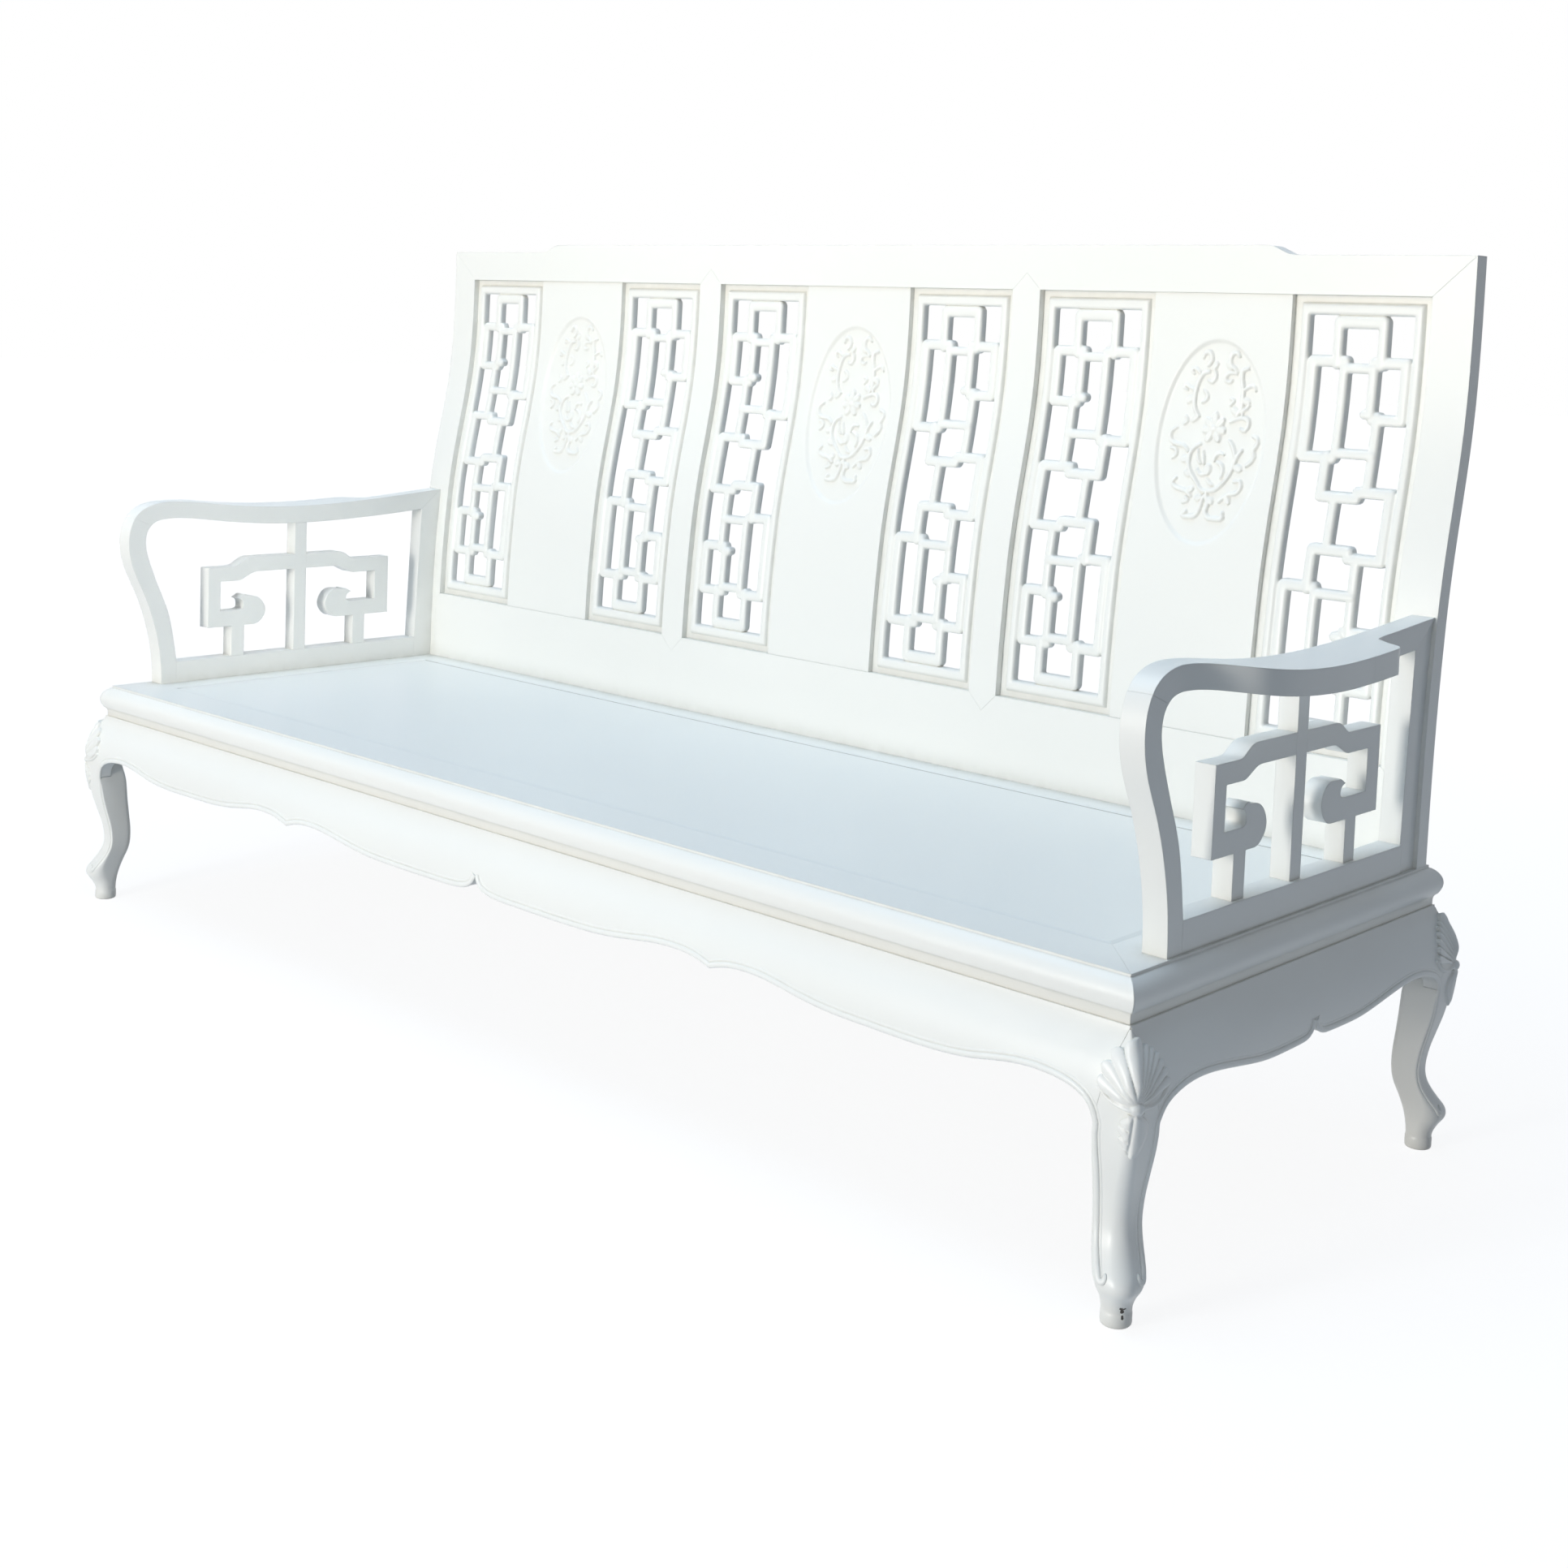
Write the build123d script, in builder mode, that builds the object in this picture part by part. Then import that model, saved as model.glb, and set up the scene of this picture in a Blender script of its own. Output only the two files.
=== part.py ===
from build123d import *
import os

# Painted hardwood luohan daybed. Millimetres, +Z up, front faces -Y, length along X.
# Depths are first written from the front edge of the seat's top, then shifted by Y_EDGE
# so that the whole daybed stands with the middle of its box over the origin.

# ---- driving dimensions -------------------------------------------------------------
HALF = 950.0            # half the seat's length, at the edge of its flat top
SEAT_D = 620.0          # seat depth, flat top edge to flat top edge
SEAT_H = 338.0          # seat height
Y_EDGE = -322.25        # where the front edge of the seat's top stands
RIM = 70.0              # width of the seat frame members
Z_FRAME = 304.0         # underside of the seat frame, top of the waist
Z_APRON = 291.0         # top of the aprons, underside of the waist
APRON_T = 19.0          # apron thickness
BACK_T = 24.0           # thickness of the back's frame
SEC_W = 567.2           # width of one opening of the back
MUN_W = 46.3            # muntin between two openings
LAT_W = 184.0           # width of a lattice panel
Z_OPEN0, Z_OPEN1 = 448.8, 1000.0   # bottom and top of the openings
Z_TOP, Z_CREST = 1048.5, 1060.5    # top of the back at the ends and at its raised middle
TONGUE = 6.0            # how far the panels sit in their grooves
D_PANEL, D_FIELD, D_BORDER, D_BACK, D_SOLID = 2.0, 4.5, 10.0, 17.0, 22.0
ARM_IN = 918.0          # inner face of the arms
ARM_T, FRET_T = 29.0, 24.0
Y_REAR = SEAT_D         # rear edge of the seat's top, from its front edge
OPEN_X = HALF - 53.0    # outer edge of the outer openings (stiles are 53 wide)

os.makedirs("parts", exist_ok=True)


# ---- planes for the sketches: (depth, height), (length, height), (length, depth) ------
def side(x):
    return Plane(origin=(x, Y_EDGE, 0), x_dir=(0, 1, 0), z_dir=(1, 0, 0))


def front(y):
    return Plane(origin=(0, y + Y_EDGE, 0), x_dir=(1, 0, 0), z_dir=(0, -1, 0))


def plan(z):
    return Plane(origin=(0, Y_EDGE, z), x_dir=(1, 0, 0), z_dir=(0, 0, 1))


def at(x, y, z):
    return (x, y + Y_EDGE, z)


def block(x0, x1, y0, y1, z0, z1):
    """A box between given limits, as a loose solid."""
    return Location(at((x0 + x1) / 2, (y0 + y1) / 2, (z0 + z1) / 2)) * Box(
        x1 - x0, y1 - y0, z1 - z0, mode=Mode.PRIVATE)


# ---- dowels that hold arms and back on the seat, and arms to back ---------------------
DOWEL_R, DOWEL_L = 5.0, 30.0
X_POST = ARM_IN + 14.0
SEAT_DOWELS = [(s * X_POST, y) for s in (-1, 1) for y in (120, 255, 385, 520)]
SEAT_DOWELS += [(x, 600.0) for x in (-780, -480, -160, 160, 480, 780)]
BACK_DOWELS = [(s * X_POST, y, z) for s in (-1, 1) for y, z in ((592.0, 420.0), (598.0, 560.0))]

with BuildPart() as frame_dowels:
    with Locations(*[at(x, y, SEAT_H) for x, y in SEAT_DOWELS]):
        Cylinder(DOWEL_R, DOWEL_L)
    with Locations(*[at(x, y, z) for x, y, z in BACK_DOWELS]):
        Cylinder(DOWEL_R, DOWEL_L, rotation=(90, 0, 0))

# ---- the four edge members of the seat: moulded outside, grooved inside, mitred -------
LIP = [(0, SEAT_H), (0, SEAT_H - 2.8), (-2.2, SEAT_H - 3.6)]
NOSE = [(-2.2, 334.4), (-9.0, 328.6), (-12.8, 321.0), (-13.2, 315.0), (-11.4, 308.6), (-8.8, 304.0)]
# shallow V that runs round the board: its depth, and its width on the frame and on the board
VEE, VEE_FRAME, VEE_BOARD = 1.8, 4.0, 6.0


def frame_profile():
    """Section of a seat member: bullnose edge at the left, panel groove at the right."""
    Polyline(*LIP)
    Spline(*NOSE)
    Polyline(NOSE[-1], (RIM, Z_FRAME), (RIM, 325), (RIM - 8, 325), (RIM - 8, 331),
             (RIM, 331), (RIM, SEAT_H - VEE), (RIM - VEE_FRAME, SEAT_H), LIP[0])


def long_mitre(reach):
    """Plan outline of a front member between its two 45 degree mitres."""
    return [(-HALF - reach, -reach), (HALF + reach, -reach),
            (HALF - RIM, RIM), (-HALF + RIM, RIM)]


def short_mitre(reach):
    """Plan outline of a right-hand end member between its two mitres."""
    return [(HALF + reach, -reach), (HALF + reach, Y_REAR + reach),
            (HALF - RIM, Y_REAR - RIM), (HALF - RIM, RIM)]


END_RIGHT = Plane(origin=(HALF, Y_EDGE, 0), x_dir=(-1, 0, 0), z_dir=(0, 1, 0))
MID_X = Plane.YZ
MID_Y = Plane.XZ.offset(-(Y_EDGE + SEAT_D / 2))
TENON_X, TENON_Y, TENON = HALF - 24.0, 24.0, 14.0

with BuildPart() as long_member:
    with BuildSketch(side(-HALF - 30)):
        with BuildLine():
            frame_profile()
        make_face()
    extrude(amount=2 * HALF + 60)
    with BuildSketch(plan(290)):
        Polygon(*long_mitre(30), align=None)
    extrude(amount=60, mode=Mode.INTERSECT)
    for s in (-1, 1):
        add(block(s * TENON_X - TENON / 2, s * TENON_X + TENON / 2, TENON_Y - TENON / 2,
                  TENON_Y + TENON / 2, 290, 326), mode=Mode.SUBTRACT)
    for x in (-660, -220, 220, 660):
        add(block(x - 12, x + 12, RIM - 14, RIM, 308, 320), mode=Mode.SUBTRACT)
rear_member = mirror(long_member.part, about=MID_Y)

with BuildPart() as seat_frame_front:
    add(long_member.part)
    add(frame_dowels.part, mode=Mode.SUBTRACT)
with BuildPart() as seat_frame_rear:
    add(rear_member)
    add(frame_dowels.part, mode=Mode.SUBTRACT)

with BuildPart() as seat_frame_right:
    with BuildSketch(END_RIGHT):
        with BuildLine():
            frame_profile()
        make_face()
    extrude(amount=SEAT_D + 60, both=True)
    with BuildSketch(plan(290)):
        Polygon(*short_mitre(30), align=None)
    extrude(amount=60, mode=Mode.INTERSECT)
    for y in (TENON_Y, SEAT_D - TENON_Y):
        add(block(TENON_X - TENON / 2, TENON_X + TENON / 2, y - TENON / 2, y + TENON / 2,
                  290, 326), mode=Mode.SUBTRACT)
    add(frame_dowels.part, mode=Mode.SUBTRACT)

with BuildPart() as seat_frame_left:
    mirror(seat_frame_right.part, about=MID_X)

# ---- seat board, held by its tongue, and the battens under it -------------------------
BOARD_LOW, BOARD_TOP, BOARD_GAP = 323.0, 337.4, 0.6     # gap all round, for the wood to move

with BuildPart() as seat_panel:
    add(block(-HALF + RIM + BOARD_GAP, HALF - RIM - BOARD_GAP, RIM + BOARD_GAP,
              Y_REAR - RIM - BOARD_GAP, BOARD_LOW, BOARD_TOP - VEE))
    for z, inset in ((BOARD_TOP - VEE, RIM + BOARD_GAP), (BOARD_TOP, RIM + BOARD_GAP + VEE_BOARD)):
        with BuildSketch(plan(z)):
            with Locations((0, SEAT_D / 2)):
                Rectangle(2 * (HALF - inset), SEAT_D - 2 * inset)
    loft()
    add(block(-HALF + RIM - 7, HALF - RIM + 7, RIM - 7, Y_REAR - RIM + 7, 325, 331))

battens = {}
for n, x in enumerate((-660, -220, 220, 660), start=1):
    with BuildPart() as batten:
        add(block(x - 20, x + 20, RIM, Y_REAR - RIM, Z_FRAME, BOARD_LOW))
        add(block(x - 12, x + 12, RIM - 14, Y_REAR - RIM + 14, 308, 320))
    battens[f"seat_batten_{n}"] = batten

# ---- waist: a hollow strip under the seat frame, four lengths mitred ------------------
def waist_profile():
    Spline((-8.6, Z_FRAME), (-6.0, 301.4), (-4.9, 297.6), (-4.8, 294.5))
    Polyline((-4.8, 294.5), (-4.8, Z_APRON), (9.2, Z_APRON), (9.2, Z_FRAME), (-8.6, Z_FRAME))


with BuildPart() as waist_front:
    with BuildSketch(side(-HALF - 30)):
        with BuildLine():
            waist_profile()
        make_face()
    extrude(amount=2 * HALF + 60)
    with BuildSketch(plan(280)):
        Polygon(*long_mitre(30), align=None)
    extrude(amount=40, mode=Mode.INTERSECT)

with BuildPart() as waist_right:
    with BuildSketch(END_RIGHT):
        with BuildLine():
            waist_profile()
        make_face()
    extrude(amount=SEAT_D + 60, both=True)
    with BuildSketch(plan(280)):
        Polygon(*short_mitre(30), align=None)
    extrude(amount=40, mode=Mode.INTERSECT)

with BuildPart() as waist_rear:
    mirror(waist_front.part, about=MID_Y)
with BuildPart() as waist_left:
    mirror(waist_right.part, about=MID_X)

# ---- aprons: swelling outwards to the knee, scalloped below, with 45 degree shoulders --
# (outward, height) down the outside of apron and knee, then down the shin of a leg
KNEE = [(6.8, 291), (8.8, 286), (14.3, 276), (20.2, 266), (24.8, 256), (27.8, 245),
        (29.5, 235), (30.1, 225), (29.9, 215), (29.2, 205), (28.3, 195), (27.2, 185)]
KNEE_TAN = [(0.22, -1.0), (-0.12, -1.0)]
SHIN = [(27.2, 185), (25.9, 175), (24.2, 165), (22.0, 155), (19.5, 145), (17.0, 135),
        (14.6, 125), (12.8, 115), (11.6, 105), (11.4, 97), (12.4, 88), (15.4, 78),
        (20.2, 68), (26.0, 58), (29.8, 51), (30.8, 45.5), (29.3, 39.5), (25.3, 32),
        (21.0, 25), (18.0, 19), (17.0, 14)]
CALF = [(-7.0, 14), (-7.4, 25), (-8.6, 36), (-10.8, 46), (-13.5, 56), (-16.3, 66),
        (-18.6, 76), (-19.8, 86), (-20.2, 96), (-20.0, 106), (-19.5, 116), (-18.8, 126),
        (-18.0, 136), (-17.2, 146), (-16.4, 156), (-15.8, 166), (-15.5, 176), (-15.5, 190),
        (-16.0, 206)]


def apron_profile(stock=0.0):
    """Section of an apron, with any extra stock outside; outward is to the left."""
    for out in (stock, -APRON_T):
        Spline(*[(-o - out, z) for o, z in KNEE], tangents=[(-a, b) for a, b in KNEE_TAN])
    for o, z in (KNEE[0], KNEE[-1]):
        Line((-o - stock, z), (-o + APRON_T, z))


# half of the scalloped lower edge, from the middle outwards: (distance, height)
FRONT_EDGE = [[(0, 239), (3.5, 231.5), (14, 223), (32, 218.5), (70, 216.8), (190, 216.8),
               (240, 219.0), (290, 225.0), (330, 230.0), (365, 231.3), (395, 228.5),
               (418, 222.2)],
              [(418, 222.2), (440, 228.2), (470, 231.2), (500, 230.2), (545, 223.8),
               (600, 217.8), (650, 216.5), (745, 216.5), (790, 221.0), (825, 227.6),
               (858, 231.0), (888, 229.8), (913, 224.0), (928, 213.5), (HALF - 16, 198.0)]]
END_EDGE = [[(0, 231), (3.5, 223.0), (12, 215.5), (28, 212.5), (60, 211.8), (95, 212.2),
             (140, 217.2), (180, 223.0), (212, 226.2), (243, 225.6), (268, 220.5),
             (286, 211.0), (SEAT_D / 2 - 16, 198.0)]]
REAR_EDGE = [[(0, 222), (300, 222), (700, 222), (830, 226), (888, 226.0), (913, 221.5),
              (928, 212.0), (HALF - 16, 198.0)]]


def scallop(edge, half):
    """Closed outline of an apron seen square on; its ends rise on the shoulder of the leg."""
    for s in (-1, 1):
        for run in edge:
            Spline(*[(s * a, z) for a, z in run])
        Polyline((s * (half - 16), 198.0), (s * (half + 6.8), Z_APRON))
    Line((-half - 6.8, Z_APRON), (half + 6.8, Z_APRON))


def long_corner(reach):
    """Plan limits of a front apron at the two vertical mitre planes."""
    return [(-HALF - reach, -reach), (HALF + reach, -reach),
            (HALF - reach, reach), (-HALF + reach, reach)]


def long_apron(edge, stock=0.0):
    """A front apron, or the cutter for its seat in the legs when it has extra stock."""
    with BuildPart() as apron:
        with BuildSketch(side(-HALF - 40)):
            with BuildLine():
                apron_profile(stock)
            make_face()
        extrude(amount=2 * HALF + 80)
        with BuildSketch(front(60)):
            with BuildLine():
                scallop(edge, HALF)
            make_face()
        extrude(amount=120, mode=Mode.INTERSECT)
        with BuildSketch(plan(180)):
            Polygon(*long_corner(50), align=None)
        extrude(amount=130, mode=Mode.INTERSECT)
    return apron.part


END_FACE = Plane(origin=(HALF - 60, Y_EDGE + SEAT_D / 2, 0), x_dir=(0, 1, 0), z_dir=(1, 0, 0))


def end_apron(stock=0.0):
    """The right-hand apron, or the cutter for its seat in the legs."""
    with BuildPart() as apron:
        with BuildSketch(END_RIGHT):
            with BuildLine():
                apron_profile(stock)
            make_face()
        extrude(amount=SEAT_D + 60, both=True)
        with BuildSketch(END_FACE):
            with BuildLine():
                scallop(END_EDGE, SEAT_D / 2)
            make_face()
        extrude(amount=120, mode=Mode.INTERSECT)
        with BuildSketch(plan(180)):
            Polygon((HALF + 50, -50), (HALF + 50, SEAT_D + 50), (HALF - 50, SEAT_D - 50),
                    (HALF - 50, 50), align=None)
        extrude(amount=130, mode=Mode.INTERSECT)
    return apron.part


front_apron, front_cutter = long_apron(FRONT_EDGE), long_apron(FRONT_EDGE, 6)
right_apron, right_cutter = end_apron(), end_apron(6)
rear_member = mirror(long_apron(REAR_EDGE), about=MID_Y)
with BuildPart() as apron_front:
    add(front_apron)
with BuildPart() as apron_rear:
    add(rear_member)
with BuildPart() as apron_right:
    add(right_apron)
with BuildPart() as apron_left:
    mirror(apron_right.part, about=MID_X)


# ---- legs: a loft of rounded squares that follows the S, on a round pad ----------------
CORNER = [(14, 11.0), (32, 15.0), (45.5, 17.0), (58, 18.0), (78, 17.0), (97, 15.5), (125, 14.5),
          (145, 12.5), (165, 9.0), (185, 5.5), (206, 3.2), (235, 2.4), (291, 1.6)]
ARRIS, HEEL = 2.2, 5.0       # radii of the side arrises and of the innermost corner
LEG_Z = [14, 19, 25, 32, 39.5, 45.5, 51, 58, 68, 78, 88, 97, 106, 115, 125, 135, 145, 155, 165,
         175, 185, 195, 206, 216, 226, 236, 246, 256, 266, 276, 284, 291]


def between(table, z):
    """Value of a (height, value) table at a height, by straight interpolation."""
    for (z0, a0), (z1, a1) in zip(table, table[1:]):
        if z0 <= z <= z1:
            return a0 + (a1 - a0) * (z - z0) / (z1 - z0)
    raise ValueError(z)


OUTWARD = sorted({(z, o) for o, z in KNEE + SHIN})
INWARD = [(z, i) for i, z in CALF] + [(Z_APRON, -16.0)]


def leg_section(z):
    """Rounded square across the leg: its outer corner points away from the seat."""
    o, i, r = between(OUTWARD, z), between(INWARD, z), between(CORNER, z)
    with BuildLine() as loop:
        Line((i + HEEL, -i), (o - ARRIS, -i))
        RadiusArc((o - ARRIS, -i), (o, -i - ARRIS), ARRIS)
        Line((o, -i - ARRIS), (o, -o + r))
        RadiusArc((o, -o + r), (o - r, -o), r)
        Line((o - r, -o), (i + ARRIS, -o))
        RadiusArc((i + ARRIS, -o), (i, -o + ARRIS), ARRIS)
        Line((i, -o + ARRIS), (i, -i - HEEL))
        RadiusArc((i, -i - HEEL), (i + HEEL, -i), HEEL)
    make_face(loop.edges())


with BuildPart() as leg_front_right:
    for z in LEG_Z:
        with BuildSketch(Plane(origin=at(HALF, 0, z), x_dir=(1, 0, 0), z_dir=(0, 0, 1))):
            leg_section(z)
    loft()
    add(block(HALF - 36, HALF - 12, 12, 36, 228, Z_APRON))
    add(front_cutter, mode=Mode.SUBTRACT)
    add(right_cutter, mode=Mode.SUBTRACT)
    add(block(HALF - 36, HALF - 14, 14, 36, Z_APRON, Z_FRAME))
    add(block(TENON_X - TENON / 2, TENON_X + TENON / 2, TENON_Y - TENON / 2,
              TENON_Y + TENON / 2, Z_FRAME, 325))
    with Locations(at(HALF + 5, -5, 7)):
        Cylinder(14.5, 14)

with BuildPart() as leg_front_left:
    mirror(leg_front_right.part, about=MID_X)
with BuildPart() as leg_rear_right:
    mirror(leg_front_right.part, about=MID_Y)
with BuildPart() as leg_rear_left:
    mirror(leg_rear_right.part, about=MID_X)

# ---- back: everything in it follows one S, here its front face (depth, height) --------
S_FRONT = [(588.5, 330), (590.6, 450), (594.6, 530), (600.5, 600), (604.8, 640), (610.8, 680),
           (618.2, 720), (626.6, 760), (634.8, 800), (641.6, 840), (646.2, 880), (648.9, 920),
           (650.6, 980), (651.2, 1070)]


def s_slab(d0, d1, x0, x1, outline):
    """The part of the S between two depths behind its face, cut to an outline (x, z)."""
    with BuildPart() as slab:
        with BuildSketch(side(x0)):
            with BuildLine():
                Spline(*[(y + d0, z) for y, z in S_FRONT])
                Spline(*[(y + d1, z) for y, z in S_FRONT])
                for y, z in (S_FRONT[0], S_FRONT[-1]):
                    Line((y + d0, z), (y + d1, z))
            make_face()
        extrude(amount=x1 - x0)
        with BuildSketch(front(760)):
            outline()
        extrude(amount=240, mode=Mode.INTERSECT)
    return slab.part


def rectangle(x0, x1, z0, z1):
    with Locations(((x0 + x1) / 2, (z0 + z1) / 2)):
        Rectangle(x1 - x0, z1 - z0)


SECTIONS = [-(SEC_W + MUN_W), 0.0, SEC_W + MUN_W]
grooves = [s_slab(D_BORDER, D_BACK, c - 300, c + 300, lambda c=c: rectangle(
    c - SEC_W / 2 - TONGUE, c + SEC_W / 2 + TONGUE, Z_OPEN0 - TONGUE, Z_OPEN1 + TONGUE))
    for c in SECTIONS]


def muntin_outline(x):
    h = MUN_W / 2
    Polygon((x - h, Z_OPEN0), (x, Z_OPEN0 - h), (x + h, Z_OPEN0), (x + h, Z_OPEN1),
            (x, Z_OPEN1 + h), (x - h, Z_OPEN1), align=None)


X_MUN = (SEC_W + MUN_W) / 2
muntin_solid = {s: s_slab(0, BACK_T, s * X_MUN - 40, s * X_MUN + 40,
                          lambda s=s: muntin_outline(s * X_MUN)) for s in (-1, 1)}
with BuildPart() as back_muntin_left:
    add(muntin_solid[-1])
    for g in grooves[:2]:
        add(g, mode=Mode.SUBTRACT)
with BuildPart() as back_muntin_right:
    add(muntin_solid[1])
    for g in grooves[1:]:
        add(g, mode=Mode.SUBTRACT)

LOW_TIP = 10.0  # small mitre where the bottom rail meets a stile
bottom_slab = s_slab(0, BACK_T, -930, 930, lambda: Polygon(
    (-OPEN_X, Z_OPEN0), (OPEN_X, Z_OPEN0), (OPEN_X + LOW_TIP, Z_OPEN0 - LOW_TIP),
    (OPEN_X + LOW_TIP, SEAT_H), (-OPEN_X - LOW_TIP, SEAT_H),
    (-OPEN_X - LOW_TIP, Z_OPEN0 - LOW_TIP), align=None))
with BuildPart() as back_bottom_rail:
    add(bottom_slab)
    for g in grooves:
        add(g, mode=Mode.SUBTRACT)
    for s in (-1, 1):
        add(muntin_solid[s], mode=Mode.SUBTRACT)
    add(frame_dowels.part, mode=Mode.SUBTRACT)


def crest_outline():
    with BuildLine() as crest:
        Polyline((-716, Z_TOP), (-HALF, Z_TOP), (-OPEN_X, Z_OPEN1), (OPEN_X, Z_OPEN1),
                 (HALF, Z_TOP), (716, Z_TOP))
        for s in (-1, 1):
            Spline((s * 716, Z_TOP), (s * 702, Z_TOP + 2.6), (s * 687, Z_CREST - 2.6),
                   (s * 670, Z_CREST), tangents=[(-s, 0), (-s, 0)])
        Line((-670, Z_CREST), (670, Z_CREST))
    make_face(crest.edges())


crest_slab = s_slab(0, BACK_T, -HALF - 5, HALF + 5, crest_outline)
with BuildPart() as back_top_rail:
    add(crest_slab)
    for g in grooves:
        add(g, mode=Mode.SUBTRACT)
    for s in (-1, 1):
        add(muntin_solid[s], mode=Mode.SUBTRACT)

stile_slab = s_slab(0, BACK_T, OPEN_X - 5, HALF + 5, lambda: Polygon(
    (OPEN_X + LOW_TIP, SEAT_H), (HALF, SEAT_H), (HALF, Z_TOP), (OPEN_X, Z_OPEN1),
    (OPEN_X, Z_OPEN0), (OPEN_X + LOW_TIP, Z_OPEN0 - LOW_TIP), align=None))
with BuildPart() as back_stile_right:
    add(stile_slab)
    add(grooves[2], mode=Mode.SUBTRACT)
    add(frame_dowels.part, mode=Mode.SUBTRACT)
with BuildPart() as back_stile_left:
    mirror(back_stile_right.part, about=MID_X)

# ---- solid panels of the back, with side grooves that hold the lattices ----------------
X_SOLID = SEC_W / 2 - LAT_W
panel_body = s_slab(D_PANEL, D_SOLID, -120, 120,
                    lambda: rectangle(-X_SOLID, X_SOLID, Z_OPEN0, Z_OPEN1))
panel_tongues = s_slab(D_BORDER, D_BACK, -120, 120, lambda: rectangle(
    -X_SOLID, X_SOLID, Z_OPEN0 - TONGUE, Z_OPEN1 + TONGUE))
panel_grooves = [s_slab(D_BORDER, D_BACK, x0 - 1, x0 + TONGUE + 1, lambda x0=x0: rectangle(
    x0, x0 + TONGUE, Z_OPEN0 - TONGUE, Z_OPEN1 + TONGUE))
    for x0 in (-X_SOLID, X_SOLID - TONGUE)]
with BuildPart() as back_panel_centre:
    add(panel_body)
    add(panel_tongues)
    for g in panel_grooves:
        add(g, mode=Mode.SUBTRACT)
with BuildPart() as back_panel_left:
    add(Location((SECTIONS[0], 0, 0)) * back_panel_centre.part)
with BuildPart() as back_panel_right:
    add(Location((SECTIONS[2], 0, 0)) * back_panel_centre.part)

# ---- lattice: interlocking key-pattern rectangles in a raised field --------------------
# bars as (x0, x1, z0, z1) about the middle of the field; the upper half, then mirrored
FIELD_W, FIELD_H = 68.9, 251.5
BARS = [(-34.8, 36.2, 236.5, 254.0), (-34.8, -22.6, 190.0, 254.0), (22.6, 36.2, 190.0, 254.0),
        (-70.0, -20.0, 187.5, 202.5), (-70.0, -53.4, 120.0, 202.5), (-70.0, -23.0, 120.0, 133.5),
        (-26.8, 24.8, 180.5, 194.5), (-26.8, -14.6, 127.5, 194.5), (-26.8, -1.5, 127.5, 138.5),
        (12.4, 24.8, 77.0, 194.5), (12.4, 70.0, 188.0, 203.0), (52.6, 70.0, 71.5, 203.0),
        (12.4, 70.0, 71.5, 84.5), (-36.8, 24.8, 77.0, 92.0), (-36.8, -23.4, 33.5, 133.5),
        (-70.0, -9.5, 32.5, 46.5), (-70.0, -52.8, -46.5, 46.5), (-18.5, 35.8, 24.5, 39.5),
        (22.8, 35.8, 24.5, 84.5), (4.4, 16.8, -39.5, 39.5)]


def lattice_outline(x_mid):
    z_mid = (Z_OPEN0 + Z_OPEN1) / 2
    with Locations((x_mid, z_mid)):
        Rectangle(LAT_W - 22.0, SEC_H - 20.0)
        Rectangle(2 * FIELD_W, 2 * FIELD_H, mode=Mode.SUBTRACT)
    for x0, x1, z0, z1 in BARS:
        for s in (-1, 1):
            if s == 1 or z0 > -z1 + 0.01 or z0 < -z1 - 0.01:
                rectangle(x_mid + x0, x_mid + x1, z_mid + min(s * z0, s * z1),
                          z_mid + max(s * z0, s * z1))


SEC_H = Z_OPEN1 - Z_OPEN0
X_LAT = -SEC_W / 2 + LAT_W / 2


def border_outline():
    z_mid = (Z_OPEN0 + Z_OPEN1) / 2
    with Locations((X_LAT, z_mid)):
        Rectangle(LAT_W + 2 * TONGUE - 0.6, SEC_H + 2 * TONGUE - 0.6)
        Rectangle(2 * FIELD_W, 2 * FIELD_H, mode=Mode.SUBTRACT)


lattice_field = s_slab(D_FIELD, D_BACK, X_LAT - 110, X_LAT + 110,
                       lambda: lattice_outline(X_LAT))
lattice_border = s_slab(D_BORDER, D_BACK, X_LAT - 110, X_LAT + 110, border_outline)
with BuildPart() as lattice_3:
    add(lattice_field)
    add(lattice_border)
with BuildPart() as lattice_4:
    mirror(lattice_3.part, about=MID_X)
lattices = {"lattice_panel_3": lattice_3, "lattice_panel_4": lattice_4}
for n, (c, source) in enumerate(((SECTIONS[0], lattice_3), (SECTIONS[0], lattice_4),
                                 (SECTIONS[2], lattice_3), (SECTIONS[2], lattice_4))):
    with BuildPart() as moved:
        add(Location((c, 0, 0)) * source.part)
    lattices[f"lattice_panel_{(1, 2, 5, 6)[n]}"] = moved

# ---- right arm (depth, height): bent front post, rail, straight posts, key-fret brackets
POST_FRONT = [(66, 338), (64.6, 370), (60.6, 400), (53.6, 430), (43.4, 462), (30.6, 492),
              (18.6, 517), (10.6, 541), (7.8, 562), (9.6, 584), (17.5, 603)]
POST_BACK = [(92, 371.5), (86.2, 407), (74.8, 456), (60.2, 491), (46.4, 525), (38.6, 549),
             (36.4, 568), (39.4, 582), (46, 591.5)]
RAIL_TOP = [(17.5, 603), (31, 616.4), (50, 624.2), (72, 627.1), (100, 626.6), (135, 623.4),
            (175, 619), (215, 615.2), (255, 612.8), (300, 611.7), (340, 612), (380, 613.3),
            (430, 616), (480, 619.5), (540, 624.7), (603.4, 630.3)]
RAIL_LOW = [(46, 591.5), (54, 596.9), (69, 600.4), (95, 601.0), (125, 598.4), (165, 593.4),
            (210, 588.6), (255, 585.4), (300, 583.8), (340, 583.8), (380, 584.9), (430, 587.2),
            (480, 590.2), (540, 594.9), (563, 597)]
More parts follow.
